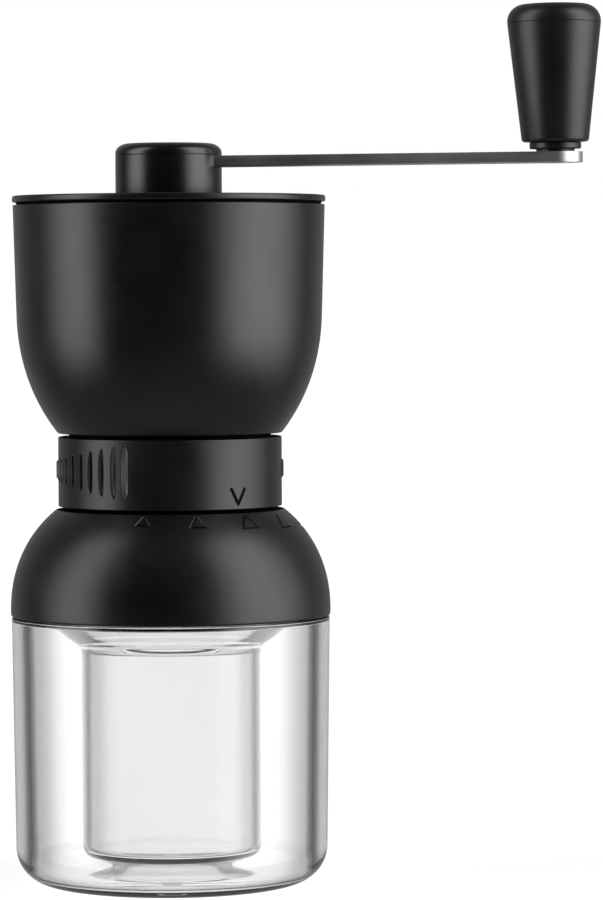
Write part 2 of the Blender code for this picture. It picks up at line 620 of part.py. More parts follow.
attach(solid_lathe("knob_spindle", [(2.7, -1.4), (3.0, -1.1), (3.0, 30.2), (2.0, 30.2), (2.0, 33.0),
                                    (1.6, 33.4)], MAT["steel"], SMALL), knob_frame)
attach(lathe("knob_washer", [(3.3, 1.7), (5.4, 1.7), (5.4, 2.15), (3.3, 2.15)], MAT["acetal"], 20),
       knob_frame)
attach(clip("knob_retainer", 2.3, 4.7, 30.6, 31.4, MAT["steel"], 2.2), knob_frame)
bpy.data.objects["knob_retainer_mouth"].parent = knob_frame

# ---- knob, free to spin on the spindle ---------------------------------------
KNOB_BASE = 4.45
KNOB_SEAM = 38.2
KNOB_TOP = 43.3
KNOB_R0 = 9.45
KNOB_R1 = 13.19


def knob_radius(s):
    return KNOB_R0 + (KNOB_R1 - KNOB_R0) * (s - KNOB_BASE) / (KNOB_SEAM - KNOB_BASE)


attach(lathe("knob_sleeve", [(3.3, 2.4), (7.28, 2.4), (7.28, 4.15), (4.9, 4.15), (4.9, 29.8),
                             (3.3, 29.8)], MAT["body_plastic"], 24), knob_frame)
attach(lathe("knob_grip", (
    [(5.2, 34.2), (5.2, KNOB_BASE), (KNOB_R0 - 0.7, KNOB_BASE)]
    + arc(KNOB_R0 - 0.7, KNOB_BASE + 0.8, 0.8, -45, 0, 1)
    + [(KNOB_R1, KNOB_SEAM - 0.15), (11.7, KNOB_SEAM - 0.15),
       (11.7, 34.2)]), MAT["body_plastic"], MID), knob_frame)
attach(solid_lathe("knob_cap", (
    [(11.3, 34.6), (11.3, KNOB_SEAM + 0.15), (KNOB_R1, KNOB_SEAM + 0.15)]
    + arc(KNOB_R1 - 4.9, KNOB_SEAM + 0.3, 4.9, 0, 90, 4, KNOB_TOP - KNOB_SEAM - 0.3)
), MAT["body_plastic"], MID), knob_frame)
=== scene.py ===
import bpy
import bmesh
import json
import math
import numpy as np
from mathutils import Matrix, Vector


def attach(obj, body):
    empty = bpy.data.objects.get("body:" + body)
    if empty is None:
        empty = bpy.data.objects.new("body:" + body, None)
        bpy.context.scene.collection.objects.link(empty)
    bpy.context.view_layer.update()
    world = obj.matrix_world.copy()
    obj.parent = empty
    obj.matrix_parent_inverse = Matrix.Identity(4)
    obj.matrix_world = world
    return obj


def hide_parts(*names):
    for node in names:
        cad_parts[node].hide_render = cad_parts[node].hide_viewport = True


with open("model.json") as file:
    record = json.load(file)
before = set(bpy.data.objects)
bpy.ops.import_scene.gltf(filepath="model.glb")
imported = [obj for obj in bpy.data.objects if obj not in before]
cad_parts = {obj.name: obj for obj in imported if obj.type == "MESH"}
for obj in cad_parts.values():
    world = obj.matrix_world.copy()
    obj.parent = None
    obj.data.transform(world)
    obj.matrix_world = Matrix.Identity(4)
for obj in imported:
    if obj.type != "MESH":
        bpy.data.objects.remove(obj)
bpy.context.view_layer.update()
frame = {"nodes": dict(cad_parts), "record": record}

MM = 0.001
FINE = 256            # segments round the large turned pieces
MEDIUM = 128
SMALL = 64
scene = bpy.context.scene
scene.view_settings.view_transform = "Standard"
ROOM_DEPTH, ROOM_TOP, ROOM_LOW = (0.012, 0.32), 0.05, 0.36
SOFTBOXES = ((4.4, 28.0, 62.0, 74.0, 124.0), (3.8, -108.0, -72.0, -66.0, -46.0))


# =============================================================================
# mesh helpers; every profile is in millimetres, as (radius, height[, fillet])
# =============================================================================
def rounded(points, closed=True, step=14.0):
    """Rounds each corner that carries a fillet radius."""
    out = []
    n = len(points)
    for i, p in enumerate(points):
        f = p[2] if len(p) > 2 else 0.0
        if f <= 0 or (not closed and i in (0, n - 1)):
            out.append((p[0], p[1]))
            continue
        a, b, c = (Vector(points[k % n][:2]) for k in (i - 1, i, i + 1))
        u, v = a - b, c - b
        lu, lv = u.length, v.length
        u /= lu
        v /= lv
        ang = u.angle(v)
        if ang > math.pi - 0.02:
            out.append((p[0], p[1]))
            continue
        t = min(f / math.tan(ang / 2), lu * 0.49, lv * 0.49)
        f = t * math.tan(ang / 2)
        ctr = b + (u + v).normalized() * (f / math.sin(ang / 2))
        p0, p1 = b + u * t - ctr, b + v * t - ctr
        a0, a1 = math.atan2(p0.y, p0.x), math.atan2(p1.y, p1.x)
        d = (a1 - a0 + math.pi) % (2 * math.pi) - math.pi
        k = max(2, int(math.ceil(abs(math.degrees(d)) / step)))
        out += [(ctr.x + f * math.cos(a0 + d * j / k), ctr.y + f * math.sin(a0 + d * j / k))
                for j in range(k + 1)]
    return out


def dense(points, longest, closed=True):
    """Splits straight runs so that no step is longer than `longest`."""
    out = []
    n = len(points)
    for i in range(n if closed else n - 1):
        a, b = points[i], points[(i + 1) % n]
        k = max(1, int(math.ceil(math.hypot(b[0] - a[0], b[1] - a[1]) / longest)))
        out += [(a[0] + (b[0] - a[0]) * j / k, a[1] + (b[1] - a[1]) * j / k) for j in range(k)]
    if not closed:
        out.append(points[-1])
    return out


def bezier(p0, p1, p2, p3, n):
    out = []
    for i in range(n + 1):
        t = i / n
        a, b, c, d = (1 - t) ** 3, 3 * (1 - t) ** 2 * t, 3 * (1 - t) * t * t, t ** 3
        out.append((a * p0[0] + b * p1[0] + c * p2[0] + d * p3[0],
                    a * p0[1] + b * p1[1] + c * p2[1] + d * p3[1]))
    return out


def arc(cr, cz, r, a0, a1, n, rz=None):
    rz = r if rz is None else rz
    return [(cr + r * math.cos(math.radians(a0 + (a1 - a0) * i / n)),
             cz + rz * math.sin(math.radians(a0 + (a1 - a0) * i / n))) for i in range(n + 1)]


def offset(pts, d):
    out = []
    for i, p in enumerate(pts):
        a = pts[max(i - 1, 0)]
        b = pts[min(i + 1, len(pts) - 1)]
        dx, dz = b[0] - a[0], b[1] - a[1]
        length = math.hypot(dx, dz)
        out.append((p[0] - dz / length * d, p[1] + dx / length * d))
    return out


def mesh_object(name, verts, faces, sharp=35.0, matrix=None):
    me = bpy.data.meshes.new(name)
    v = np.asarray(verts, float) * MM
    if matrix is not None:
        m = np.array(matrix)
        v = v @ m[:3, :3].T + m[:3, 3]
    me.from_pydata(v.tolist(), [], faces)
    me.validate()
    me.update()
    me.shade_smooth()
    if sharp:
        me.set_sharp_from_angle(angle=math.radians(sharp))
    ob = bpy.data.objects.new(name, me)
    scene.collection.objects.link(ob)
    return ob


def turn(name, pts, segs=FINE, push=None, angles=None, sharp=35.0, matrix=None):
    """Turns a closed profile about Z. Points at radius 0 become poles.
    push(theta, r, z) gives how far a point moves out along the radius, in mm."""
    area = sum(a[0] * b[1] - b[0] * a[1] for a, b in zip(pts, pts[1:] + pts[:1]))
    if area < 0:
        pts = pts[::-1]
    if angles is None:
        angles = np.arange(segs) * (2 * math.pi / segs)
    angles = np.asarray(angles)
    segs = len(angles)
    cos, sin = np.cos(angles), np.sin(angles)
    verts, rows = [], []
    for r, z in pts:
        if r < 1e-6:
            rows.append((len(verts), True))
            verts.append((0.0, 0.0, z))
        else:
            rr = np.full(segs, r)
            if push is not None:
                rr = rr + push(angles, r, z)
            rows.append((len(verts), False))
            verts += list(zip(rr * cos, rr * sin, np.full(segs, z)))
    faces = []
    n = len(rows)
    for k in range(n):
        (a, pa), (b, pb) = rows[k], rows[(k + 1) % n]
        if pa and pb:
            continue
        for i in range(segs):
            j = (i + 1) % segs
            if pa:
                faces.append((a, b + j, b + i))
            elif pb:
                faces.append((a + i, a + j, b))
            else:
                faces.append((a + i, a + j, b + j, b + i))
    return mesh_object(name, verts, faces, sharp, matrix)


def prism(name, outline, z0, z1, matrix=None, sharp=30.0):
    n = len(outline)
    verts = [(x, y, z0) for x, y in outline] + [(x, y, z1) for x, y in outline]
    faces = [tuple(range(n - 1, -1, -1)), tuple(range(n, 2 * n))]
    faces += [(i, (i + 1) % n, n + (i + 1) % n, n + i) for i in range(n)]
    return mesh_object(name, verts, faces, sharp, matrix)


def ngon(n, r, phase=0.0, x=0.0, y=0.0):
    return [(x + r * math.cos(phase + 2 * math.pi * i / n), y + r * math.sin(phase + 2 * math.pi * i / n))
            for i in range(n)]


def stadium(x0, x1, r, n=32):
    right = [(x1 + r * math.cos(a), r * math.sin(a))
             for a in (-math.pi / 2 + math.pi * i / n for i in range(n + 1))]
    left = [(x0 + r * math.cos(a), r * math.sin(a))
            for a in (math.pi / 2 + math.pi * i / n for i in range(n + 1))]
    return right + left


def box(name, size, centre, az=0.0):
    sx, sy, sz = (s / 2 for s in size)
    verts = [(centre[0] + x * sx, centre[1] + y * sy, centre[2] + z * sz)
             for x, y, z in ((-1, -1, -1), (1, -1, -1), (1, 1, -1), (-1, 1, -1),
                             (-1, -1, 1), (1, -1, 1), (1, 1, 1), (-1, 1, 1))]
    faces = [(3, 2, 1, 0), (4, 5, 6, 7), (0, 1, 5, 4), (1, 2, 6, 5), (2, 3, 7, 6), (3, 0, 4, 7)]
    return mesh_object(name, verts, faces, 30, Matrix.Rotation(math.radians(az), 4, 'Z'))


def combine(target, tools, op='DIFFERENCE'):
    """Cuts or joins the tools, keeps the result as the target's own mesh and removes the tools."""
    for t in tools:
        m = target.modifiers.new("b", 'BOOLEAN')
        m.operation = op
        m.solver = 'EXACT'
        m.object = t
    settle(target)
    for t in tools:
        bpy.data.objects.remove(t, do_unlink=True)


def settle(ob, sharp=35.0):
    dg = bpy.context.evaluated_depsgraph_get()
    me = bpy.data.meshes.new_from_object(ob.evaluated_get(dg))
    ob.modifiers.clear()
    ob.data = me
    me.shade_smooth()
    me.set_sharp_from_angle(angle=math.radians(sharp))


def soften(ob, width, segments=3, angle=30.0):
    """Rounds an object's own sharp edges."""
    m = ob.modifiers.new("round", 'BEVEL')
    m.width = width * MM
    m.segments = segments
    m.limit_method = 'ANGLE'
    m.angle_limit = math.radians(angle)
    m.harden_normals = False
    settle(ob, 40.0)


# =============================================================================
# materials
# =============================================================================
def shader(name):
    m = bpy.data.materials.new(name)
    m.use_nodes = True
    nt = m.node_tree
    return m, nt, nt.nodes["Principled BSDF"]


def node(nt, kind, **inputs):
    n = nt.nodes.new(kind)
    for k, v in inputs.items():
        n.inputs[k.replace("_", " ")].default_value = v
    return n


def noise(nt, scale, detail=2.0, rough=0.5, stretch=None):
    tc = nt.nodes.new("ShaderNodeTexCoord")
    src = tc.outputs["Object"]
    if stretch:
        mp = node(nt, "ShaderNodeMapping")
        mp.inputs["Scale"].default_value = stretch
        nt.links.new(src, mp.inputs["Vector"])
        src = mp.outputs["Vector"]
    n = node(nt, "ShaderNodeTexNoise", Scale=scale, Detail=detail, Roughness=rough)
    nt.links.new(src, n.inputs["Vector"])
    return n.outputs["Fac"]


def spread(nt, fac, lo, hi, f0=0.3, f1=0.7):
    """A number that follows fac from lo to hi."""
    mr = node(nt, "ShaderNodeMapRange")
    mr.inputs["From Min"].default_value = f0
    mr.inputs["From Max"].default_value = f1
    mr.inputs["To Min"].default_value = lo
    mr.inputs["To Max"].default_value = hi
    nt.links.new(fac, mr.inputs["Value"])
    return mr.outputs["Result"]


def tint(nt, fac, c0, c1, f0=0.3, f1=0.7):
    r = nt.nodes.new("ShaderNodeValToRGB")
    r.color_ramp.elements[0].position = f0
    r.color_ramp.elements[1].position = f1
    r.color_ramp.elements[0].color = (*c0, 1)
    r.color_ramp.elements[1].color = (*c1, 1)
    nt.links.new(fac, r.inputs["Fac"])
    return r.outputs["Color"]


def bump(nt, b, height, strength, distance):
    n = node(nt, "ShaderNodeBump", Strength=strength, Distance=distance)
    nt.links.new(height, n.inputs["Height"])
    nt.links.new(n.outputs["Normal"], b.inputs["Normal"])
    return n


def grey(v):
    return (v, v, v * 1.02)


def moulded(name, dark, light, rough0, rough1, grain_mm=0.22, grain=0.10, ior=1.46):
    """Moulded plastic: spark-eroded grain, cloudy sheen and faint colour drift."""
    m, nt, b = shader(name)
    cloud = noise(nt, 90.0, 3.0)
    fine = noise(nt, 1000.0 / grain_mm, 3.0, 0.6)
    nt.links.new(tint(nt, cloud, grey(dark), grey(light)), b.inputs["Base Color"])
    mix = nt.nodes.new("ShaderNodeMath")
    mix.operation = 'ADD'
    nt.links.new(spread(nt, cloud, rough0, rough1), mix.inputs[0])
    nt.links.new(spread(nt, fine, -0.025, 0.025), mix.inputs[1])
    nt.links.new(mix.outputs[0], b.inputs["Roughness"])
    b.inputs["IOR"].default_value = ior
    bump(nt, b, fine, grain, 0.00004)
    return m


def metal(name, c0, c1, rough0, rough1, stretch, scale=1.0, strength=0.15, distance=0.00003):
    m, nt, b = shader(name)
    lines = noise(nt, scale, 4.0, 0.65, stretch)
    cloud = noise(nt, 60.0, 2.0)
    nt.links.new(tint(nt, lines, c0, c1), b.inputs["Base Color"])
    mix = nt.nodes.new("ShaderNodeMath")
    mix.operation = 'ADD'
    nt.links.new(spread(nt, lines, rough0, rough1), mix.inputs[0])
    nt.links.new(spread(nt, cloud, -0.03, 0.03), mix.inputs[1])
    nt.links.new(mix.outputs[0], b.inputs["Roughness"])
    b.inputs["Metallic"].default_value = 1.0
    bump(nt, b, lines, strength, distance)
    return m


M = {}
M["body"] = moulded("black_moulding", 0.0026, 0.0040, 0.27, 0.33)
M["low"] = moulded("black_moulding_low", 0.0026, 0.0040, 0.29, 0.35, ior=1.43)
M["knob"] = moulded("black_moulding_knob", 0.0034, 0.0050, 0.33, 0.39, grain_mm=0.18)
M["hub"] = moulded("black_moulding_hub", 0.0024, 0.0036, 0.21, 0.27, grain_mm=0.18, ior=1.48)
M["ring"] = moulded("ring_moulding", 0.0032, 0.0048, 0.31, 0.37, grain_mm=0.26, ior=1.42)
# painted shade: a darker, matt, weakly reflecting moulding for faces inside narrow gaps and seams, where shade falls
M["gap"] = moulded("black_moulding_painted_gap_shade", 0.0010, 0.0016, 0.70, 0.80, ior=1.12)
M["inner"] = moulded("inner_moulding", 0.0060, 0.0085, 0.40, 0.46, grain_mm=0.3)
M["acetal"] = moulded("white_acetal", 0.52, 0.60, 0.34, 0.42, 0.4, 0.05, 1.48)
M["washer"] = moulded("dark_acetal", 0.0060, 0.0090, 0.36, 0.44, 0.3, 0.05, 1.48)
M["strip"] = metal("satin_strip", (0.50, 0.50, 0.505), (0.60, 0.60, 0.605), 0.35, 0.42,
                   (45.0, 3200.0, 3200.0))
M["steel"] = metal("turned_steel", (0.52, 0.52, 0.53), (0.60, 0.60, 0.61), 0.24, 0.32,
                   (90.0, 90.0, 3600.0), strength=0.05, distance=0.00001)
M["bronze"] = metal("sintered_bronze", (0.30, 0.21, 0.12), (0.42, 0.30, 0.18), 0.40, 0.50,
                    (2600.0, 2600.0, 2600.0), strength=0.25)
M["ceramic"] = moulded("ground_ceramic", 0.66, 0.74, 0.26, 0.36, 0.35, 0.06, 1.6)
M["silicone"] = moulded("black_silicone", 0.016, 0.022, 0.55, 0.62, 0.5, 0.05, 1.41)


def clear_silicone():
    m, nt, b = shader("clear_silicone")
    fine = noise(nt, 1500.0, 3.0)
    nt.links.new(tint(nt, fine, (0.78, 0.79, 0.79), (0.86, 0.87, 0.87)), b.inputs["Base Color"])
    nt.links.new(spread(nt, fine, 0.30, 0.40), b.inputs["Roughness"])
    b.inputs["Transmission Weight"].default_value = 0.6
    b.inputs["IOR"].default_value = 1.41
    return m


def glass(name, edge):
    """Blown glass: clear, with the slow waviness of a formed wall. Where a facing ramp is given, back faces are mixed
    with a near-black diffuse by facing angle: painted shade that darkens the wall where it is seen near edge-on."""
    m, nt, b = shader(name)
    b.inputs["Transmission Weight"].default_value = 1.0
    b.inputs["IOR"].default_value = 1.47
    b.inputs["Metallic"].default_value = 0.0
    wave = noise(nt, 38.0, 1.0, 0.4)
    colour = tint(nt, wave, (0.953, 0.953, 0.953), (0.968, 0.968, 0.968))
    nt.links.new(colour, b.inputs["Base Color"])
    nt.links.new(spread(nt, wave, 0.0, 0.012), b.inputs["Roughness"])
    bump(nt, b, wave, 0.05, 0.0004)
    surface = b.outputs[0]
    # painted shade: the facing ramp picks how much of the back face turns near-black, painting dark bands along the
    # wall
    if edge:
        lw = node(nt, "ShaderNodeLayerWeight", Blend=0.5)
        ramp = nt.nodes.new("ShaderNodeValToRGB")
        ramp.color_ramp.interpolation = 'LINEAR'
        els = ramp.color_ramp.elements
        els[0].position, els[0].color = 0.0, (0, 0, 0, 1)
        els[1].position, els[1].color = 1.0, (0, 0, 0, 1)
        for pos, v in edge:
            e = els.new(pos)
            e.color = (v, v, v, 1)
        nt.links.new(lw.outputs["Facing"], ramp.inputs["Fac"])
        geo = nt.nodes.new("ShaderNodeNewGeometry")
        edge_shade_amount = nt.nodes.new("ShaderNodeMath")
        edge_shade_amount.operation = 'MULTIPLY'
        nt.links.new(geo.outputs["Backfacing"], edge_shade_amount.inputs[0])
        nt.links.new(ramp.outputs["Color"], edge_shade_amount.inputs[1])
        dark = node(nt, "ShaderNodeBsdfDiffuse")
        dark.inputs["Color"].default_value = (0.02, 0.02, 0.02, 1)
        painted_edge_shade = nt.nodes.new("ShaderNodeMixShader")
        nt.links.new(edge_shade_amount.outputs[0], painted_edge_shade.inputs[0])
        nt.links.new(b.outputs[0], painted_edge_shade.inputs[1])
        nt.links.new(dark.outputs[0], painted_edge_shade.inputs[2])
        surface = painted_edge_shade.outputs[0]
    out = nt.nodes["Material Output"]
    clear = nt.nodes.new("ShaderNodeBsdfTransparent")
    clear.inputs["Color"].default_value = (0.86, 0.87, 0.87, 1)
    path = nt.nodes.new("ShaderNodeLightPath")
    mix = nt.nodes.new("ShaderNodeMixShader")
    nt.links.new(path.outputs["Is Shadow Ray"], mix.inputs[0])
    nt.links.new(surface, mix.inputs[1])
    nt.links.new(clear.outputs[0], mix.inputs[2])
    nt.links.new(mix.outputs[0], out.inputs["Surface"])
    return m


M["clear_silicone"] = clear_silicone()
M["glass"] = glass("clear_glass", None)
# painted shade: darkness of the glass wall's back faces against facing value, dark bands where the wall is seen near
# edge-on
WALL_EDGE_SHADE = [(0.09, 0.0), (0.137, 0.08), (0.16, 0.17), (0.19, 0.35), (0.215, 0.44), (0.236, 0.50),
             (0.250, 0.75), (0.266, 0.90), (0.282, 0.82), (0.300, 0.50), (0.345, 0.15), (0.42, 0.08)]
M["glass_wall"] = glass("clear_glass_painted_edge_shade", WALL_EDGE_SHADE)


def piece(ob, mat, body, *nodes):
    """Gives a piece its material, its body and the CAD nodes it stands for."""
    ob.data.materials.clear()
    ob.data.materials.append(M[mat])
    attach(ob, body)
    if nodes:
        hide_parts(*nodes)
    return ob


def paint_gap_shade(ob, inside):
    """Gives the faces of a narrow gap a darker, matt, weakly reflecting moulding: painted shade for the shade that
    falls inside the gap.
    """
    ob.data.materials.append(M["gap"])
    for face in ob.data.polygons:
        if inside(math.hypot(face.center.x, face.center.y) / MM, face.center.z / MM):
            face.material_index = 1


# =============================================================================
# glass jar
# =============================================================================
JAR_R_TOP, JAR_R_LOW, JAR_CORNER, SHOULDER_Z = 44.90, 44.05, 10.5, 75.4
NECK_R, NECK_IN, RIM_Z = 41.2, 37.5, 82.0
CUP_R, CUP_WALL, CUP_FLOOR = 23.6, 1.7, 6.1
FUNNEL_TOP, FUNNEL_LOW = 77.0, 69.4
wall_in = JAR_R_TOP - 3.9 - 0.6

outer_skin = (
    [(3.0, 0.35)]
    + [(3.4, 0.0), (20.0, 0.0)]
    + arc(JAR_R_LOW - JAR_CORNER, JAR_CORNER, JAR_CORNER, -90, 0, 22)
    + dense([(JAR_R_LOW + 0.01, JAR_CORNER + 0.8), (JAR_R_TOP, SHOULDER_Z - 0.4)], 3.0, closed=False)
    + arc(JAR_R_TOP - 0.4, SHOULDER_Z - 0.4, 0.4, 10, 90, 7)
    + rounded([(NECK_R + 2.0, SHOULDER_Z), (NECK_R, SHOULDER_Z, 0.8), (NECK_R, RIM_Z, 1.7),
               (NECK_IN, RIM_Z, 1.7), (NECK_IN, FUNNEL_TOP, 2.5),
               (CUP_R, FUNNEL_TOP - (NECK_IN - CUP_R) * 0.5857, 3.2), (CUP_R, FUNNEL_LOW - 8.0)],
              closed=False, step=6)[1:]
    + dense([(CUP_R, FUNNEL_LOW - 8.5), (CUP_R, CUP_FLOOR + 7.0)], 4.0, closed=False)
    + rounded([(CUP_R, CUP_FLOOR + 6.5), (CUP_R, CUP_FLOOR + 3.9, 1.9), (CUP_R - 10.0, CUP_FLOOR + 0.6, 40.0),
               (4.0, CUP_FLOOR + 0.02)], closed=False, step=3)[1:]
    + [(0.0, CUP_FLOOR)]
)
cavity_skin = (
    [(0.0, CUP_FLOOR - CUP_WALL)]
    + rounded([(4.0, CUP_FLOOR - CUP_WALL + 0.02), (15.0, CUP_FLOOR - CUP_WALL + 0.7, 40.0),
               (24.6, CUP_FLOOR + 2.4, 2.2), (CUP_R + CUP_WALL, CUP_FLOOR + 4.6, 2.6),
               (CUP_R + CUP_WALL, CUP_FLOOR + 8.0)], closed=False, step=3)
    + dense([(CUP_R + CUP_WALL, CUP_FLOOR + 8.5), (CUP_R + CUP_WALL, FUNNEL_LOW - 8.0)], 4.0, closed=False)
    + rounded([(CUP_R + CUP_WALL, FUNNEL_LOW - 7.5), (CUP_R + CUP_WALL, FUNNEL_LOW - 2.2, 3.6), (34.3, 73.7, 0.8), (35.6, 74.3, 0.8),
               (wall_in, 74.3, 0.4), (wall_in - 0.02, 66.0)], closed=False, step=6)
    + dense([(wall_in - 0.03, 65.5), (wall_in - 0.78, 7.8)], 4.0, closed=False)
    + arc(wall_in - 0.8 - 4.0, 3.0 + 4.0, 4.0, 0, -90, 14)
    + [(20.0, 3.0), (3.3, 3.0), (3.0, 2.8)]
)
jar = turn("glass_jar_visual", outer_skin + cavity_skin, FINE, sharp=None)
piece(jar, "glass", "jar", "glass_jar")
# painted shade: the outer wall's inner skin and the cup's outer skin get the glass with painted dark edge bands
jar.data.materials.append(M["glass_wall"])
centres = np.empty(len(jar.data.polygons) * 3)
jar.data.polygons.foreach_get("center", centres)
centres = centres.reshape(-1, 3) / MM
radius, height = np.hypot(centres[:, 0], centres[:, 1]), centres[:, 2]
wall_far = (radius > 34.0) & (radius < wall_in + 0.1) & (height > 3.2) & (height < 73.8)
cup_near = (radius < CUP_R + 0.2) & (height > CUP_FLOOR + 4.0) & (height < FUNNEL_LOW - 1.0)
jar.data.polygons.foreach_set("material_index", (wall_far | cup_near).astype(np.int32))
plug = turn("vent_plug_visual", rounded([(0, 0.0), (2.85, 0.0, 0.3), (2.85, 3.1, 0.2), (2.1, 3.8, 0.5),
                                         (0, 3.8)], closed=True), SMALL)
piece(plug, "clear_silicone", "jar", "jar_vent_plug")

# =============================================================================
# lower housing with engraved setting marks
# =============================================================================
DOME = bezier((32.2, 105.7), (35.6, 103.1), (45.45, 94.1), (45.15, 77.0), 90)
CAMERA_AZ = -90.0      # the marks are counted from the side facing -Y, towards +X
MARKS = []             # (azimuth, half width, base height, apex height) in degrees and mm
for k in range(5):
    width = 3.6 + 0.55 * k + 0.24 * k * k
    MARKS.append((-11.1 + 25.4 * k, width / 2, 102.85 - 0.5 * k, 105.15))


def dome_radius(z):
    zs = [p[1] for p in DOME][::-1]
    rs = [p[0] for p in DOME][::-1]
    return float(np.interp(z, zs, rs))


def stroke(px, py, a, b):
    """Distance from points to the segment a-b."""
    ax, ay = a
    dx, dy = b[0] - ax, b[1] - ay
    t = np.clip(((px - ax) * dx + (py - ay) * dy) / (dx * dx + dy * dy), 0, 1)
    return np.hypot(px - ax - t * dx, py - ay - t * dy)


def groove(dist, width, depth):
    """A V-groove with soft lips."""
    x = np.clip(1.0 - dist / (width / 2), 0, 1)
    return -depth * x * x * (3 - 2 * x)


def surface_s(z):
    """Length along the dome's face, measured down from its top edge."""
    zs = np.array([p[1] for p in DOME])
    rs = np.array([p[0] for p in DOME])
    s = np.concatenate([[0], np.cumsum(np.hypot(np.diff(rs), np.diff(zs)))])
    return float(np.interp(-z, -zs, s))


MARK_S = [(az, hw, surface_s(z0), surface_s(z1)) for az, hw, z0, z1 in MARKS]


def mark_push(theta, r, z):
    out = np.zeros_like(theta)
    if z > 105.69 or z < 98.0 or abs(r - dome_radius(z)) > 0.05:
        return out
    s = surface_s(z)
    for az, hw, s0, s1 in MARK_S:
        d = np.degrees(theta) - (CAMERA_AZ + az)
        d = (d + 180.0) % 360.0 - 180.0
        x = np.radians(d) * r
        dist = np.minimum.reduce([stroke(x, s, (-hw, s0), (hw, s0)), stroke(x, s, (-hw, s0), (0.0, s1)),
                                  stroke(x, s, (hw, s0), (0.0, s1))])
        near = np.abs(x) < hw + 1.5
        out += np.where(near, groove(dist, 0.85, 0.50), 0.0)
    return out


def angle_set(coarse, bands):
    """Angles round a turn, finer inside bands of (centre, half width, step) in degrees."""
    a = -180.0
    out = []
    while a < 180.0 - 1e-6:
        step = coarse
        for c, hw, s in bands:
            d = abs((a - c + 180.0) % 360.0 - 180.0)
            if d < hw:
                step = min(step, s)
            else:
                step = min(step, max(s, d - hw))
        out.append(a)
        a += step
    if 180.0 - out[-1] < 0.3 * coarse and len(out) > 10:
        out[-1] = (out[-2] + 180.0) / 2
    return np.radians(np.array(out))


dome_rows = DOME[:1] + [p for p in bezier((32.2, 105.7), (35.6, 103.1), (45.45, 94.1), (45.15, 77.0), 225)
                        if 99.2 < p[1] < 105.6] + [p for p in DOME if p[1] <= 99.2][::-2][::-1]
inner_dome = [p for p in offset(DOME[::6], -2.5) if 88.0 < p[1] < 102.4]
housing_profile = (
    rounded([(20.5, 119.0, 0.3), (20.5, 126.8, 0.4), (27.0, 126.8, 0.4), (27.0, 105.7, 0.4),
             (32.0, 105.7)][::-1], closed=False)[::-1]
)
housing_profile = (
    rounded([(32.0, 105.7), (27.0, 105.7, 0.4), (27.0, 126.8, 0.4), (20.5, 126.8, 0.4),
             (20.5, 119.0, 0.3), (25.3, 119.0, 0.3), (25.3, 87.5, 0.3), (27.0, 87.5, 0.3),
             (27.0, 103.0, 1.2), (31.2, 103.0, 0.5)] + inner_dome
            + [(40.8, 87.4, 0.3), (41.9, 87.4, 0.2), (41.9, 84.3, 0.2), (42.6, 84.3, 0.2),
               (42.6, 80.0)], closed=False, step=30.0)
    + rounded([(42.6, 80.0), (42.6, 75.7, 0.4), (45.12, 75.7, 0.75), (45.15, 77.0)], closed=False)[1:]
    + dome_rows[::-1][1:]
)
housing = turn("lower_housing_visual", housing_profile, push=mark_push,
               angles=angle_set(1.8, [(CAMERA_AZ + az, math.degrees(hw / 35.0) + 1.0, 0.21)
                                      for az, hw, _, _ in MARKS]), sharp=38.0)
piece(housing, "low", "head", "lower_housing")
# painted shade: the housing's shelf and collar under the ring get the dark matt moulding
paint_gap_shade(housing, lambda r, h: 26.8 < r < 31.9 and 105.6 < h < 126.9)

# =============================================================================
# grind-setting ring: grip ribs and the pointer
# =============================================================================
RING_R, RING_Z0, RING_Z1 = 31.55, 106.7, 126.2
RIB_Z = 117.1
RIBS = []
for patch in (0.0, 180.0):
    for k in range(11):
        half = 7.1 if k == 0 else 7.2 - 0.68 * (k - 1) + 0.015 * (k - 1) ** 2
        RIBS.append((CAMERA_AZ + patch - 20.7 - 7.2 * k, half))
POINTER_AZ = CAMERA_AZ + 38.3
V_TOP, V_TIP, V_HALF = 112.4, 108.2, 2.35


def ring_push(theta, r, z):
    out = np.zeros_like(theta)
    if r < RING_R - 0.6 or z < RING_Z0 + 0.3 or z > RING_Z1 - 0.3:
        return out
    deg = np.degrees(theta)
    for az, half in RIBS:
        t = (z - RIB_Z) / half
        if abs(t) >= 1.0:
            continue
        x = np.radians((deg - az + 180.0) % 360.0 - 180.0) * RING_R
        end = math.sqrt(max(0.0, 1.0 - t * t))
        w = max(end ** 0.9, 1e-3)
        rise = np.clip(1.0 + x / (1.5 * w), 0, 1)
        rise = rise * rise * (3 - 2 * rise) * 0.6 + rise * 0.4
        fall = np.clip(1.0 - x / (0.55 * w), 0, 1)
        out += 0.55 * np.where(x < 0, rise, fall) * min(1.0, end * 1.6)
    x = np.radians((deg - POINTER_AZ + 180.0) % 360.0 - 180.0) * RING_R
    dist = np.minimum(stroke(x, z, (-V_HALF, V_TOP), (0.0, V_TIP)), stroke(x, z, (V_HALF, V_TOP), (0.0, V_TIP)))
    out += np.where(np.abs(x) < 4.5, groove(dist, 1.0, 0.58), 0.0)
    return out


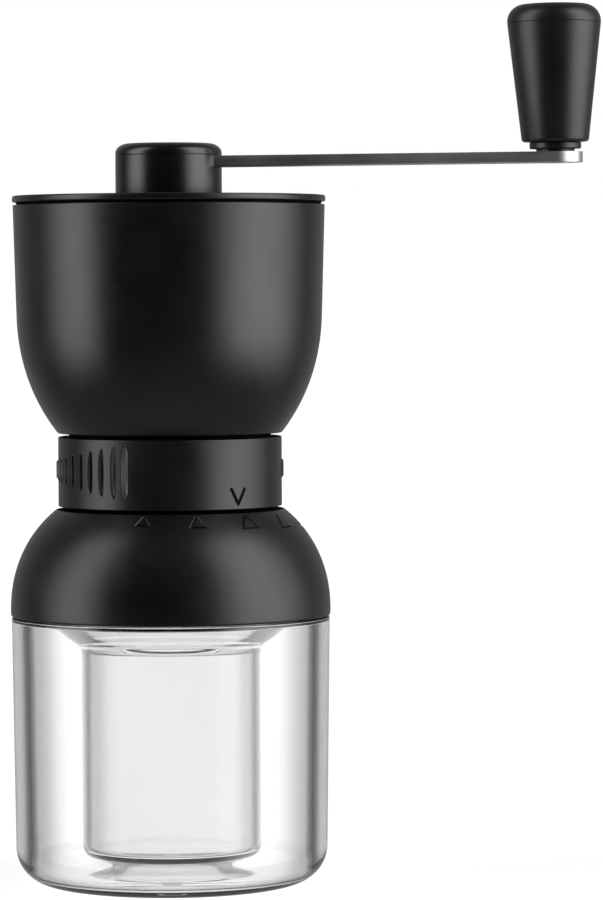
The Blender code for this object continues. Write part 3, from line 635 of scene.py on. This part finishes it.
bands = [(az, 2.9, 0.19) for az, _ in RIBS] + [(POINTER_AZ, 6.4, 0.22)]
outer_wall = dense([(RING_R, RING_Z1 - 0.45), (RING_R, RING_Z0 + 0.45)], 0.27, closed=False)
ring_profile = (
    rounded([(RING_R, RING_Z0 + 0.45), (RING_R, RING_Z0, 0.4), (27.4, RING_Z0, 0.3), (27.4, 108.9, 0.2),
             (29.7, 108.9, 0.2), (29.7, 123.4, 0.2), (28.9, 124.2, 0.2), (28.9, RING_Z1, 0.3),
             (RING_R, RING_Z1, 0.4), (RING_R, RING_Z1 - 0.45)], closed=False, step=30.0)[1:-1]
    + outer_wall
)
ring = turn("setting_ring_visual", ring_profile, push=ring_push, angles=angle_set(1.5, bands), sharp=42.0)
piece(ring, "ring", "ring", "adjusting_ring")
# painted shade: the ring's inner top and bottom faces, in the seams, get the dark matt moulding
paint_gap_shade(ring, lambda r, h: r < RING_R - 0.3 and (h > RING_Z1 - 0.06 or h < RING_Z0 + 0.06))

# =============================================================================
# hopper and lid
# =============================================================================
BOWL = bezier((31.8, 127.5), (37.75, 135.3), (42.62, 145.9), (43.05, 160.0), 60)
inner_bowl = [p for p in offset(BOWL[::5], 2.5) if p[1] > 131.0]
hopper_profile = (
    rounded([(20.5, 129.6, 0.3), (20.5, 127.1, 0.3), (27.3, 127.1, 0.2), (27.3, 122.0, 0.3),
             (28.5, 122.0, 0.3), (28.5, 127.3, 0.3), (31.5, 127.3)], closed=False)
    + BOWL
    + dense([(43.08, 161.0), (43.93, 191.0)], 5.0, closed=False)
    + rounded([(43.93, 191.0), (43.95, 191.5, 0.3), (41.45, 191.5, 0.45), (41.45, 190.8)], closed=False)[1:]
    + dense([(41.43, 190.2), (40.60, 161.0)], 5.0, closed=False)
    + inner_bowl[::-1]
    + rounded([(30.5, 130.4), (28.6, 129.6, 1.6), (24.0, 129.6)], closed=False)[1:]
)
hopper = turn("hopper_visual", hopper_profile, sharp=38.0)
piece(hopper, "body", "head", "hopper")
# painted shade: the hopper's lower skirt, in the seam above the ring, gets the dark matt moulding
paint_gap_shade(hopper, lambda r, h: 27.0 < r < 31.6 and h < 127.5)

LID_R, LID_TOP, LID_EDGE = 44.16, 194.1, 192.3
lid = turn("lid_visual", rounded([
    (10.5, LID_TOP, 0.3), (10.5, 186.9, 0.3), (13.0, 186.9, 0.4), (13.0, 192.0, 0.6), (38.8, 192.0, 0.6),
    (38.8, 186.0, 0.4), (41.0, 186.0, 0.5), (41.0, 187.5, 0.15), (39.9, 187.5, 0.15), (39.9, 189.7, 0.15),
    (41.0, 189.7, 0.15), (41.0, 191.75, 0.1), (43.05, 191.75, 0.1), (43.05, LID_EDGE, 0.1),
    (LID_R - 0.1, LID_EDGE, 0.35), (LID_R, 193.0, 0.8), (LID_R - 0.1, LID_TOP, 0.75), (30.0, LID_TOP)]),
    sharp=38.0)
piece(lid, "body", "lid", "hopper_lid")
# painted shade: the recess between the lid and the hopper rim gets the dark matt moulding
paint_gap_shade(lid, lambda r, h: 41.2 < r < 43.9 and 191.6 < h < LID_EDGE + 0.05)

# =============================================================================
# crank
# =============================================================================
ARM_Z, ARM_RISE, KNOB_X, ARM_W = 203.48, math.radians(0.5), 109.0, 7.7
ARM_M = Matrix.Translation((0, 0, ARM_Z * MM)) @ Matrix.Rotation(-ARM_RISE, 4, 'Y')
KNOB_M = ARM_M @ Matrix.Translation((KNOB_X * MM, 0, 0))
HUB_R, HUB_Z0, SEAM_Z, HUB_TOP = 15.0, 194.25, 205.42, 208.8
hub = turn("hub_visual", rounded([
    (5.9, 184.4, 0.2), (7.6, 184.4, 0.3), (7.6, 184.95, 0.05), (7.0, 184.95, 0.05), (7.0, 186.25, 0.05),
    (7.6, 186.25, 0.05), (7.6, HUB_Z0, 0.2), (HUB_R, HUB_Z0, 0.45), (HUB_R, SEAM_Z - 0.03, 0.12),
    (5.9, SEAM_Z - 0.03, 0.2)]), FINE)
combine(hub, [prism("hub_slot_tool", stadium(-4.8, 30.0, ARM_W + 0.08, 33), -1.56, 9.0, ARM_M)])
piece(hub, "hub", "crank", "crank_hub")
cap = turn("hub_cap_visual", (
    [(0.0, 207.0), (12.9, 207.0), (12.9, SEAM_Z + 0.05), (HUB_R - 0.1, SEAM_Z + 0.03), (HUB_R, SEAM_Z + 0.13)]
    + arc(HUB_R - 3.8, 206.0, 3.8, 3, 84, 16, 2.75)
    + [(9.0, 208.76), (6.0, 208.79), (3.0, 208.8), (0.0, HUB_TOP)]), FINE)
mouth = math.asin(ARM_W / (HUB_R - 0.03))
tongue = prism("tongue", [((HUB_R - 0.03) * math.cos(mouth * t / 12), (HUB_R - 0.03) * math.sin(mouth * t / 12))
                          for t in range(-12, 13)]
               + [(12.95 * math.cos(0.6 * t / 12), 12.95 * math.sin(0.6 * t / 12)) for t in range(12, -13, -1)],
               205.16, 206.4)
combine(cap, [tongue], 'UNION')
piece(cap, "hub", "crank", "crank_hub_cap")

arm = prism("crank_arm_visual", stadium(-4.8, KNOB_X, ARM_W, 40), -1.5, 1.5)
combine(arm, [prism("t", ngon(48, 3.05, 0.03, KNOB_X), -4, 4), prism("t2", ngon(32, 1.8, 0.03, -9.3), -4, 4),
              prism("t3", ngon(32, 1.8, 0.03, 9.8), -4, 4)])
soften(arm, 0.32, 3, 40.0)
arm.data.transform(ARM_M)
piece(arm, "strip", "crank", "crank_arm")

spindle = turn("spindle_visual", rounded([
    (0, -1.62), (4.6, -1.62, 0.15), (4.6, -1.5, 0.05), (3.0, -1.42, 0.05), (3.0, 30.2, 0.2), (2.0, 30.2, 0.1), (2.0, 33.2, 0.4),
    (0, 33.2)]), SMALL, matrix=KNOB_M)
piece(spindle, "steel", "crank", "knob_spindle")
washer = turn("knob_washer_visual", rounded([(3.1, 1.52, 0.05), (5.4, 1.52, 0.15), (5.4, 2.32, 0.15), (3.1, 2.32, 0.05)]),
              SMALL, matrix=KNOB_M)
piece(washer, "washer", "crank", "knob_washer")

# =============================================================================
# knob
# =============================================================================
K0, KS, KT, KR0, KR1 = 4.3, 37.8, 43.2, 9.43, 13.19
sleeve = turn("knob_collar_visual", rounded([
    (3.15, 2.36, 0.1), (7.28, 2.36, 0.25), (7.28, 4.12, 0.2), (4.9, 4.12, 0.1), (4.9, 29.8, 0.2), (3.15, 29.8, 0.2)]),
    MEDIUM, matrix=KNOB_M)
piece(sleeve, "knob", "knob", "knob_sleeve")
grip = turn("knob_grip_visual", rounded([
    (5.2, 34.2, 0.2), (5.2, K0, 0.3), (KR0, K0, 0.9), (11.3, (K0 + KS) / 2, 0.0), (KR1, KS - 0.03, 0.1), (11.7, KS - 0.03, 0.1),
    (11.7, 34.2, 0.2)]), FINE, matrix=KNOB_M)
piece(grip, "knob", "knob", "knob_grip")
kcap = turn("knob_cap_visual", (
    [(0.0, 34.6), (11.3, 34.6), (11.3, KS + 0.05), (KR1 - 0.08, KS + 0.03), (KR1, KS + 0.12)]
    + arc(KR1 - 4.9, KS + 0.35, 4.9, 4, 86, 18, KT - KS - 0.55)
    + [(6.0, KT - 0.1), (3.0, KT - 0.03), (0.0, KT)]), FINE, matrix=KNOB_M)
piece(kcap, "knob", "knob", "knob_cap")

# =============================================================================
# pieces inside the head, the lid and the crank
# =============================================================================
CONE_R, CONE_SLOPE = 18.6, 0.565
BODY = {n: b for b, ns in frame["record"]["behaviour"]["bodies"].items() for n in ns}
SPOKES, SEATS = (90.0, 210.0, 330.0), (30.0, 150.0, 270.0)


def stands_for(ob, mat, name):
    return piece(ob, mat, BODY[name], name)


def washer_like(name, mat, r0, r1, z0, z1, f=0.15, segs=MEDIUM):
    ob = turn(name + "_visual", rounded([(r0, z0, f), (r1, z0, f), (r1, z1, f), (r0, z1, f)]), segs)
    return stands_for(ob, mat, name)


def along(az, z):
    """Frame whose Z axis points outwards at azimuth az and height z."""
    return (Matrix.Rotation(math.radians(az), 4, 'Z') @ Matrix.Translation((0, 0, z * MM))
            @ Matrix.Rotation(math.pi / 2, 4, 'Y'))


def rod(name, r, a, b, matrix, f=0.0, segs=32):
    return turn(name, rounded([(0, a), (r, a, f), (r, b, f), (0, b)]), segs, matrix=matrix)


def bridge(name, rim, hub_z, arm_z, arm_end, seat_r, hole):
    """A rim and a bearing hub joined by three arms, with screw holes through the rim."""
    ob = turn(name + "_visual", rounded(rim), MEDIUM)
    parts = [turn("hub_part", rounded([(6.6, hub_z[0], 0.3), (9.5, hub_z[0], 0.3), (9.5, hub_z[1], 0.3),
                                       (6.6, hub_z[1], 0.3)]), MEDIUM)]
    parts += [box("arm_part", (arm_end - 8.0, 5.3, arm_z[1] - arm_z[0]),
                  ((arm_end + 8.0) / 2, 0, (arm_z[0] + arm_z[1]) / 2), az) for az in SPOKES]
    combine(ob, parts, 'UNION')
    zs = [p[1] for p in rim]
    tools = []
    for az in SEATS:
        x, y = seat_r * math.cos(math.radians(az)), seat_r * math.sin(math.radians(az))
        tools.append(prism("hole", ngon(32, hole, 0.05, x, y), min(zs) - 2, max(zs) + 2))
    combine(ob, tools)
    return stands_for(ob, "inner", name)


def screw(name, x, y, tip, seat, shank, head_r, head_h, up=True):
    """Pan-head screw with a cross recess; the head stands above its seat, or hangs below it."""
    length = abs(seat - tip)
    rows = [(0.0, -length), (shank * 0.4, -length), (shank, 1.2 - length)]
    z = 1.2 - length
    while z < -1.4:
        rows += [(shank, z + 0.08), (shank * 0.8, z + 0.34), (shank, z + 0.6)]
        z += 0.7
    rows += [(shank * 0.9, -0.5), (shank * 0.9, 0.0), (head_r - 0.12, 0.0), (head_r, 0.12), (head_r, head_h * 0.4)]
    rows += [(head_r * (0.62 + 0.38 * math.cos(math.radians(a))),
              head_h * (0.4 + 0.6 * math.sin(math.radians(a)))) for a in (25, 50, 75, 90)]
    rows += [(0.0, head_h)]
    ob = turn(name + "_visual", rows, 48)
    size = head_r * 1.05
    combine(ob, [box("cross", (size, 0.6, head_h), (0, 0, head_h), a) for a in (45.0, 135.0)])
    flip = Matrix.Identity(4) if up else Matrix.Rotation(math.pi, 4, 'X')
    ob.data.transform(Matrix.Translation((x * MM, y * MM, seat * MM)) @ flip)
    return stands_for(ob, "steel", name)


def clip(name, r0, r1, z0, z1, mouth, matrix=None):
    ob = turn(name + "_visual", rounded([(r0, z0, 0.1), (r1, z0, 0.1), (r1, z1, 0.1), (r0, z1, 0.1)]), SMALL)
    combine(ob, [box("mouth", (r1 + 2, mouth, 4 * (z1 - z0)), ((r1 + 2) / 2, 0, (z0 + z1) / 2), 270.0)])
    if matrix is not None:
        ob.data.transform(matrix)
    return stands_for(ob, "steel", name)


def hexagon(af, phase=0.0):
    return ngon(6, af / 2 / math.cos(math.pi / 6), phase)


def helix_block(name, az, half_deg, half_h, r0, r1, steps=40):
    """Slot block that falls by 0.7 mm for each radian of turn."""
    verts, faces = [], []
    for i in range(steps + 1):
        phi = math.radians(-half_deg + 2 * half_deg * i / steps)
        a = phi + math.radians(az)
        z = 114.0 - 0.7 * phi
        verts += [(r * math.cos(a), r * math.sin(a), z + h)
                  for r, h in ((r0, -half_h), (r1, -half_h), (r1, half_h), (r0, half_h))]
    for i in range(steps):
        for k in range(4):
            faces.append((4 * i + k, 4 * i + (k + 1) % 4, 4 * i + 4 + (k + 1) % 4, 4 * i + 4 + k))
    faces += [(3, 2, 1, 0), tuple(4 * steps + k for k in range(4))]
    ob = mesh_object(name, verts, faces, 30)
    bm = bmesh.new()
    bm.from_mesh(ob.data)
    bmesh.ops.recalc_face_normals(bm, faces=bm.faces)
    bm.to_mesh(ob.data)
    bm.free()
    return ob


# bearings, seals and rings
stands_for(turn("lower_bush_visual", rounded([(4.3, 82.9, 0.2), (6.3, 82.9, 0.15), (6.3, 89.0), (8.3, 89.0, 0.15),
                                              (8.3, 90.0, 0.15), (4.3, 90.0, 0.2)]), MEDIUM), "bronze", "lower_bush")
washer_like("upper_bush", "bronze", 4.3, 6.3, 128.9, 136.0, 0.25)
washer_like("lid_bush", "bronze", 7.9, 10.2, 186.6, 194.2, 0.25)
washer_like("burr_retainer", "steel", 20.6, 23.0, 91.0, 92.3, 0.2)
washer_like("shaft_washer", "steel", 3.3, 7.0, 81.5, 82.1, 0.12)
stands_for(turn("jar_gasket_visual", rounded([(37.7, 82.3, 0.2), (41.5, 82.3, 0.3), (41.5, 77.2, 0.2), (42.3, 77.2, 0.2),
                                              (42.3, 84.3, 0.4), (37.7, 84.3, 0.4)]), FINE), "silicone", "jar_gasket")
stands_for(turn("lid_seal_visual", rounded([(40.15, 187.8, 0.1), (40.9, 187.8, 0.3), (41.15, 188.6, 0.3),
                                            (40.9, 189.4, 0.3), (40.15, 189.4, 0.1)]), FINE), "silicone", "lid_seal")

# bridges and screws
bridge("lower_bridge", [(22.9, 84.6, 0.3), (41.6, 84.6, 0.3), (41.6, 87.1, 0.3), (24.9, 87.1, 0.5), (24.9, 89.2, 0.4),
                        (22.9, 89.2, 0.3)], (83.2, 88.7), (84.9, 88.2), 23.6, 34.0, 1.6)
bridge("upper_bridge", [(20.8, 129.9, 0.2), (26.6, 129.9, 0.3), (26.6, 132.0, 0.5), (20.8, 132.4, 0.5)],
       (129.2, 135.7), (130.2, 133.6), 21.6, 23.7, 1.6)
for k, az in enumerate(SEATS):
    c, d = math.cos(math.radians(az)), math.sin(math.radians(az))
    screw(f"housing_screw_{k + 1}", 34.0 * c, 34.0 * d, 95.5, 84.3, 1.2, 2.4, 1.4, up=False)
    screw(f"hopper_screw_{k + 1}", 23.7 * c, 23.7 * d, 121.0, 132.7, 1.2, 2.3, 1.4)
screw("hub_screw_1", -9.3, 0.0, 196.5, 205.5, 1.3, 2.6, 1.1)
screw("hub_screw_2", 9.8, 0.0, 196.5, 205.5, 1.3, 2.6, 1.1)

# shaft and what it carries
thread = []
z = 77.9
while z < 82.0:
    thread += [(3.0, z), (2.72, z + 0.25), (3.0, z + 0.5)]
    z += 0.6
shaft = turn("drive_shaft_visual", [(0, 77.5), (2.6, 77.5)] + thread + [(3.0, 82.2)]
             + rounded([(3.0, 82.3), (4.0, 82.4, 0.1), (4.0, 136.15, 0.1), (3.5, 136.15), (3.5, 137.45), (4.0, 137.45, 0.1),
                        (4.0, 185.6, 0.3), (2.6, 186.7), (0, 186.7)], closed=False), SMALL)
hex_end = prism("hex_end", hexagon(6.0, 0.1), 185.0, 201.0)
combine(hex_end, [turn("round_off", [(0, 184.0), (3.6, 184.0), (3.6, 200.3), (2.9, 201.0), (0, 201.0)], SMALL)], 'INTERSECT')
combine(shaft, [hex_end], 'UNION')
combine(shaft, [rod("cross_hole", 1.5, -8.0, 8.0, along(0.0, 111.6))])
stands_for(shaft, "steel", "drive_shaft")
stands_for(rod("drive_pin_visual", 1.2, -6.5, 6.5, along(0.0, 111.6), 0.3), "steel", "drive_pin")
nut = prism("shaft_nut_visual", hexagon(10.0), 78.1, 81.2)
combine(nut, [turn("nut_chamfer", [(0, 78.1), (5.0, 78.1), (5.78, 78.55), (5.78, 80.75), (5.0, 81.2), (0, 81.2)], SMALL)],
        'INTERSECT')
combine(nut, [turn("nut_bore", [(0, 77.0), (3.7, 77.0), (3.7, 78.1), (3.3, 78.5), (3.3, 80.8), (3.7, 81.2), (3.7, 82.0),
                                (0, 82.0)], SMALL)])
stands_for(nut, "steel", "shaft_nut")
clip("shaft_clip", 3.8, 6.4, 136.4, 137.2, 3.0)
clip("hub_clip", 7.3, 9.8, 185.1, 186.1, 3.0)
clip("knob_retainer", 2.3, 4.7, 30.6, 31.4, 2.2, KNOB_M)


# burrs: saw teeth that twist up the cone
def saw(theta, teeth, twist):
    return 1.0 - np.mod((theta - twist) * teeth / (2 * math.pi), 1.0)


def twist_at(h):
    return 0.55 * (h - 93.0) / 19.0


def burr_push(rows, teeth, r_in, r_out):
    """rows: (height, depth); teeth stand only on the face between r_in and r_out."""
    hs, ds = [r[0] for r in rows], [r[1] for r in rows]

    def push(theta, r, h):
        if not r_in < r < r_out:
            return np.zeros_like(theta)
        return float(np.interp(h, hs, ds)) * saw(theta, teeth, twist_at(max(h, 93.0)) if teeth == 8 else twist_at(h))
    return push


def cone_r(h):
    return CONE_R - CONE_SLOPE * (h - 93.0)


cone_face = [(17.9, 92.6)] + [(cone_r(h) - (0.8 + 0.09 * (h - 93.0)), h) for h in (96.5, 100.3, 104.2, 108.0)] + [(7.4, 112.3)]
cone = turn("cone_burr_visual", [(4.3, 90.3), (17.0, 90.3), (17.2, 90.5)] + dense(cone_face, 0.8, closed=False) + [(4.3, 112.3)],
            320, push=burr_push([(90.6, 0.0), (92.6, 0.7), (96.5, 1.115), (100.3, 1.457), (104.2, 1.808), (108.0, 2.15),
                                 (112.3, 0.9)], 8, 4.4, 30.0), sharp=28.0)
combine(cone, [box("key", (40.0, 3.0, 6.0), (0, 0, 113.1))])
stands_for(cone, "ceramic", "cone_burr")
burr_face = [(cone_r(h) + 0.62, h) for h in (92.7, 96.5, 100.3, 104.0)] + [(15.2, 110.6)]
burr = turn("ring_burr_visual", [(22.9, 110.6), (22.9, 92.7)] + dense(burr_face, 0.8, closed=False),
            360, push=burr_push([(92.7, 0.7), (104.0, 0.7), (110.6, 0.9)], 10, 0.0, 22.5), sharp=28.0)
stands_for(burr, "ceramic", "ring_burr")

# carrier, its pins and the cam sleeve
carrier = turn("burr_carrier_visual", rounded([(23.3, 90.4, 0.2), (25.0, 90.4, 0.3), (25.0, 117.0, 0.3), (23.8, 117.0, 0.3),
                                               (17.6, 113.6, 0.3), (17.6, 110.9, 0.3), (23.3, 110.9, 0.1)]), FINE)
combine(carrier, [rod("pin_hole", 2.12, 22.5, 26.5, along(az, 114.0), segs=48) for az in SPOKES])
stands_for(carrier, "acetal", "burr_carrier")
for k, az in enumerate(SPOKES):
    stands_for(rod(f"cam_pin_{k + 1}_visual", 2.0, 22.8, 28.9, along(az, 114.0), 0.3, 48), "steel", f"cam_pin_{k + 1}")
cam = turn("cam_sleeve_visual", rounded([(27.3, 109.2, 0.2), (29.4, 109.2, 0.2), (29.4, 121.4, 0.2), (27.3, 121.4, 0.2)]), FINE)
half = 51.5 + math.degrees(2.0 / 27.3) + 1.0
combine(cam, [helix_block("cam_slot", az, half, 2.4, 26.5, 30.2) for az in SPOKES])
stands_for(cam, "acetal", "cam_sleeve")

# hex socket in the crank, and the ring's detent
socket = turn("hub_socket_visual", rounded([(0, 187.0), (5.6, 187.0, 0.3), (5.6, 201.5, 0.2), (0, 201.5)]), SMALL)
combine(socket, [prism("socket_bore", ngon(6, 3.0 / math.cos(math.pi / 6) + 0.35, 0.1), 180.0, 210.0)])
stands_for(socket, "steel", "hub_socket")
stands_for(turn("detent_ball_visual", [(0, 103.35)] + arc(0, 104.9, 1.55, -90, 90, 24)[1:-1] + [(0, 106.45)], 48,
                matrix=Matrix.Translation((0, 29.6 * MM, 0))), "steel", "detent_ball")
wire, coil_r, low, high, turns, per = 0.28, 1.25, 96.5, 103.1, 5, 40
verts, faces = [], []
for i in range(turns * per + 1):
    a = 2 * math.pi * i / per
    zc = low + wire + (high - low - 2 * wire) * i / (turns * per)
    for k in range(12):
        b = 2 * math.pi * k / 12
        rr = coil_r + wire * math.cos(b)
        verts.append((rr * math.cos(a), 29.6 + rr * math.sin(a), zc + wire * math.sin(b)))
for i in range(turns * per):
    for k in range(12):
        j = (k + 1) % 12
        faces.append((12 * i + k, 12 * i + 12 + k, 12 * i + 12 + j, 12 * i + j))
faces += [tuple(range(12)), tuple(range(12 * turns * per + 11, 12 * turns * per - 1, -1))]
stands_for(mesh_object("detent_spring_visual", verts, faces, 50), "steel", "detent_spring")

# =============================================================================
# CAD nodes that stay: their material from the record's slot
# =============================================================================
KEEP = {"body_plastic": "inner", "ring_plastic": "ring", "acetal": "acetal", "steel": "steel",
        "satin_steel": "strip", "bronze": "bronze", "ceramic": "ceramic", "silicone": "silicone",
        "clear_silicone": "clear_silicone", "glass": "glass"}
for sp in frame["record"]["subparts"]:
    ob = frame["nodes"][sp["node"]]
    ob.data.materials.clear()
    ob.data.materials.append(M[KEEP[sp["material_slot"]]])

# =============================================================================
# floor, light, camera
# =============================================================================
floor = mesh_object("floor", [(-30000, -30000, 0), (30000, -30000, 0), (30000, 30000, 0), (-30000, 30000, 0)],
                    [(0, 1, 2, 3)], None)
floor.location.z = -0.00002
fm = bpy.data.materials.new("white_table")
fm.use_nodes = True
nt = fm.node_tree
nt.nodes.clear()
out = nt.nodes.new("ShaderNodeOutputMaterial")
diff = node(nt, "ShaderNodeBsdfDiffuse")
diff.inputs["Color"].default_value = (0.36, 0.36, 0.36, 1)
emit = node(nt, "ShaderNodeEmission", Strength=0.762)
add = nt.nodes.new("ShaderNodeAddShader")
nt.links.new(diff.outputs[0], add.inputs[0])
nt.links.new(emit.outputs[0], add.inputs[1])
nt.links.new(add.outputs[0], out.inputs["Surface"])
floor.data.materials.append(fm)
floor.visible_glossy = False

world = bpy.data.worlds.new("studio")
scene.world = world
world.use_nodes = True
nt = world.node_tree
nt.nodes.clear()
out = nt.nodes.new("ShaderNodeOutputWorld")
white = node(nt, "ShaderNodeBackground", Strength=1.0)
white.inputs["Color"].default_value = (1, 1, 1, 1)
tc = nt.nodes.new("ShaderNodeTexCoord")
sep = nt.nodes.new("ShaderNodeSeparateXYZ")
nt.links.new(tc.outputs["Generated"], sep.inputs[0])


def calc(op, *sources):
    n = nt.nodes.new("ShaderNodeMath")
    n.operation = op
    for i, src in enumerate(sources):
        if isinstance(src, (int, float)):
            n.inputs[i].default_value = src
        else:
            nt.links.new(src, n.inputs[i])
    return n.outputs[0]


def ease(src, lo, hi, v0, v1):
    """Follows src smoothly from v0 at lo to v1 at hi."""
    part = node(nt, "ShaderNodeMapRange")
    part.interpolation_type = 'SMOOTHSTEP'
    for key, val in (("From Min", lo), ("From Max", hi), ("To Min", v0), ("To Max", v1)):
        part.inputs[key].default_value = val
    nt.links.new(src, part.inputs["Value"])
    return part.outputs[0]


# the room: dim in front, greyer behind, above and below, with a tall softbox on each side;
# azimuth runs from -Y towards +X, in degrees
front = calc('MULTIPLY', sep.outputs["Y"], -1.0)
azimuth = calc('MULTIPLY', calc('ARCTAN2', sep.outputs["X"], front), 180.0 / math.pi)
height = calc('MULTIPLY', calc('ARCSINE', sep.outputs["Z"]), 180.0 / math.pi)
depth = calc('MULTIPLY', ease(sep.outputs["Y"], -0.15, 1.0, *ROOM_DEPTH), ease(height, -8.0, -50.0, 1.0, 0.35))
total = calc('ADD', depth, ease(height, 25.0, 90.0, 0.0, ROOM_TOP))
total = calc('ADD', total, ease(height, -4.0, -70.0, 0.0, ROOM_LOW))
tall = calc('MULTIPLY', ease(height, -34.0, -8.0, 0.0, 1.0), ease(height, 46.0, 72.0, 1.0, 0.0))
for strength, a0, a1, a2, a3 in SOFTBOXES:
    lit = calc('MULTIPLY', ease(azimuth, a0, a1, 0.0, strength), ease(azimuth, a2, a3, 1.0, 0.0))
    total = calc('ADD', total, calc('MULTIPLY', lit, tall))
dim = node(nt, "ShaderNodeBackground")
dim.inputs["Color"].default_value = (1, 1, 1, 1)
nt.links.new(total, dim.inputs["Strength"])
path = nt.nodes.new("ShaderNodeLightPath")
clear_view = calc('MAXIMUM', path.outputs["Is Camera Ray"], path.outputs["Is Transmission Ray"])
# light that has been through the glass meets the pale table below, not the dim room
below = calc('MULTIPLY', ease(sep.outputs["Z"], 0.0, -0.03, 0.0, 1.0),
             calc('MINIMUM', path.outputs["Transmission Depth"], 1.0))
clear_view = calc('MAXIMUM', clear_view, below)
mix = nt.nodes.new("ShaderNodeMixShader")
nt.links.new(clear_view, mix.inputs[0])
nt.links.new(dim.outputs[0], mix.inputs[1])
nt.links.new(white.outputs[0], mix.inputs[2])
nt.links.new(mix.outputs[0], out.inputs["Surface"])

cam_data = bpy.data.cameras.new("camera")
cam_data.sensor_width = 36.0
cam_data.lens = 175.907
cam_data.clip_start, cam_data.clip_end = 0.05, 100.0
cam = bpy.data.objects.new("camera", cam_data)
scene.collection.objects.link(cam)
cam.location = (0.03712, -1.2411, 0.1708)
pitch, roll = math.radians(2.2436), math.radians(0.2362)
cam.rotation_mode = 'QUATERNION'
cam.rotation_quaternion = (Matrix.Rotation(math.pi / 2 - pitch, 3, 'X') @ Matrix.Rotation(-roll, 3, 'Z')).to_quaternion()
scene.camera = cam
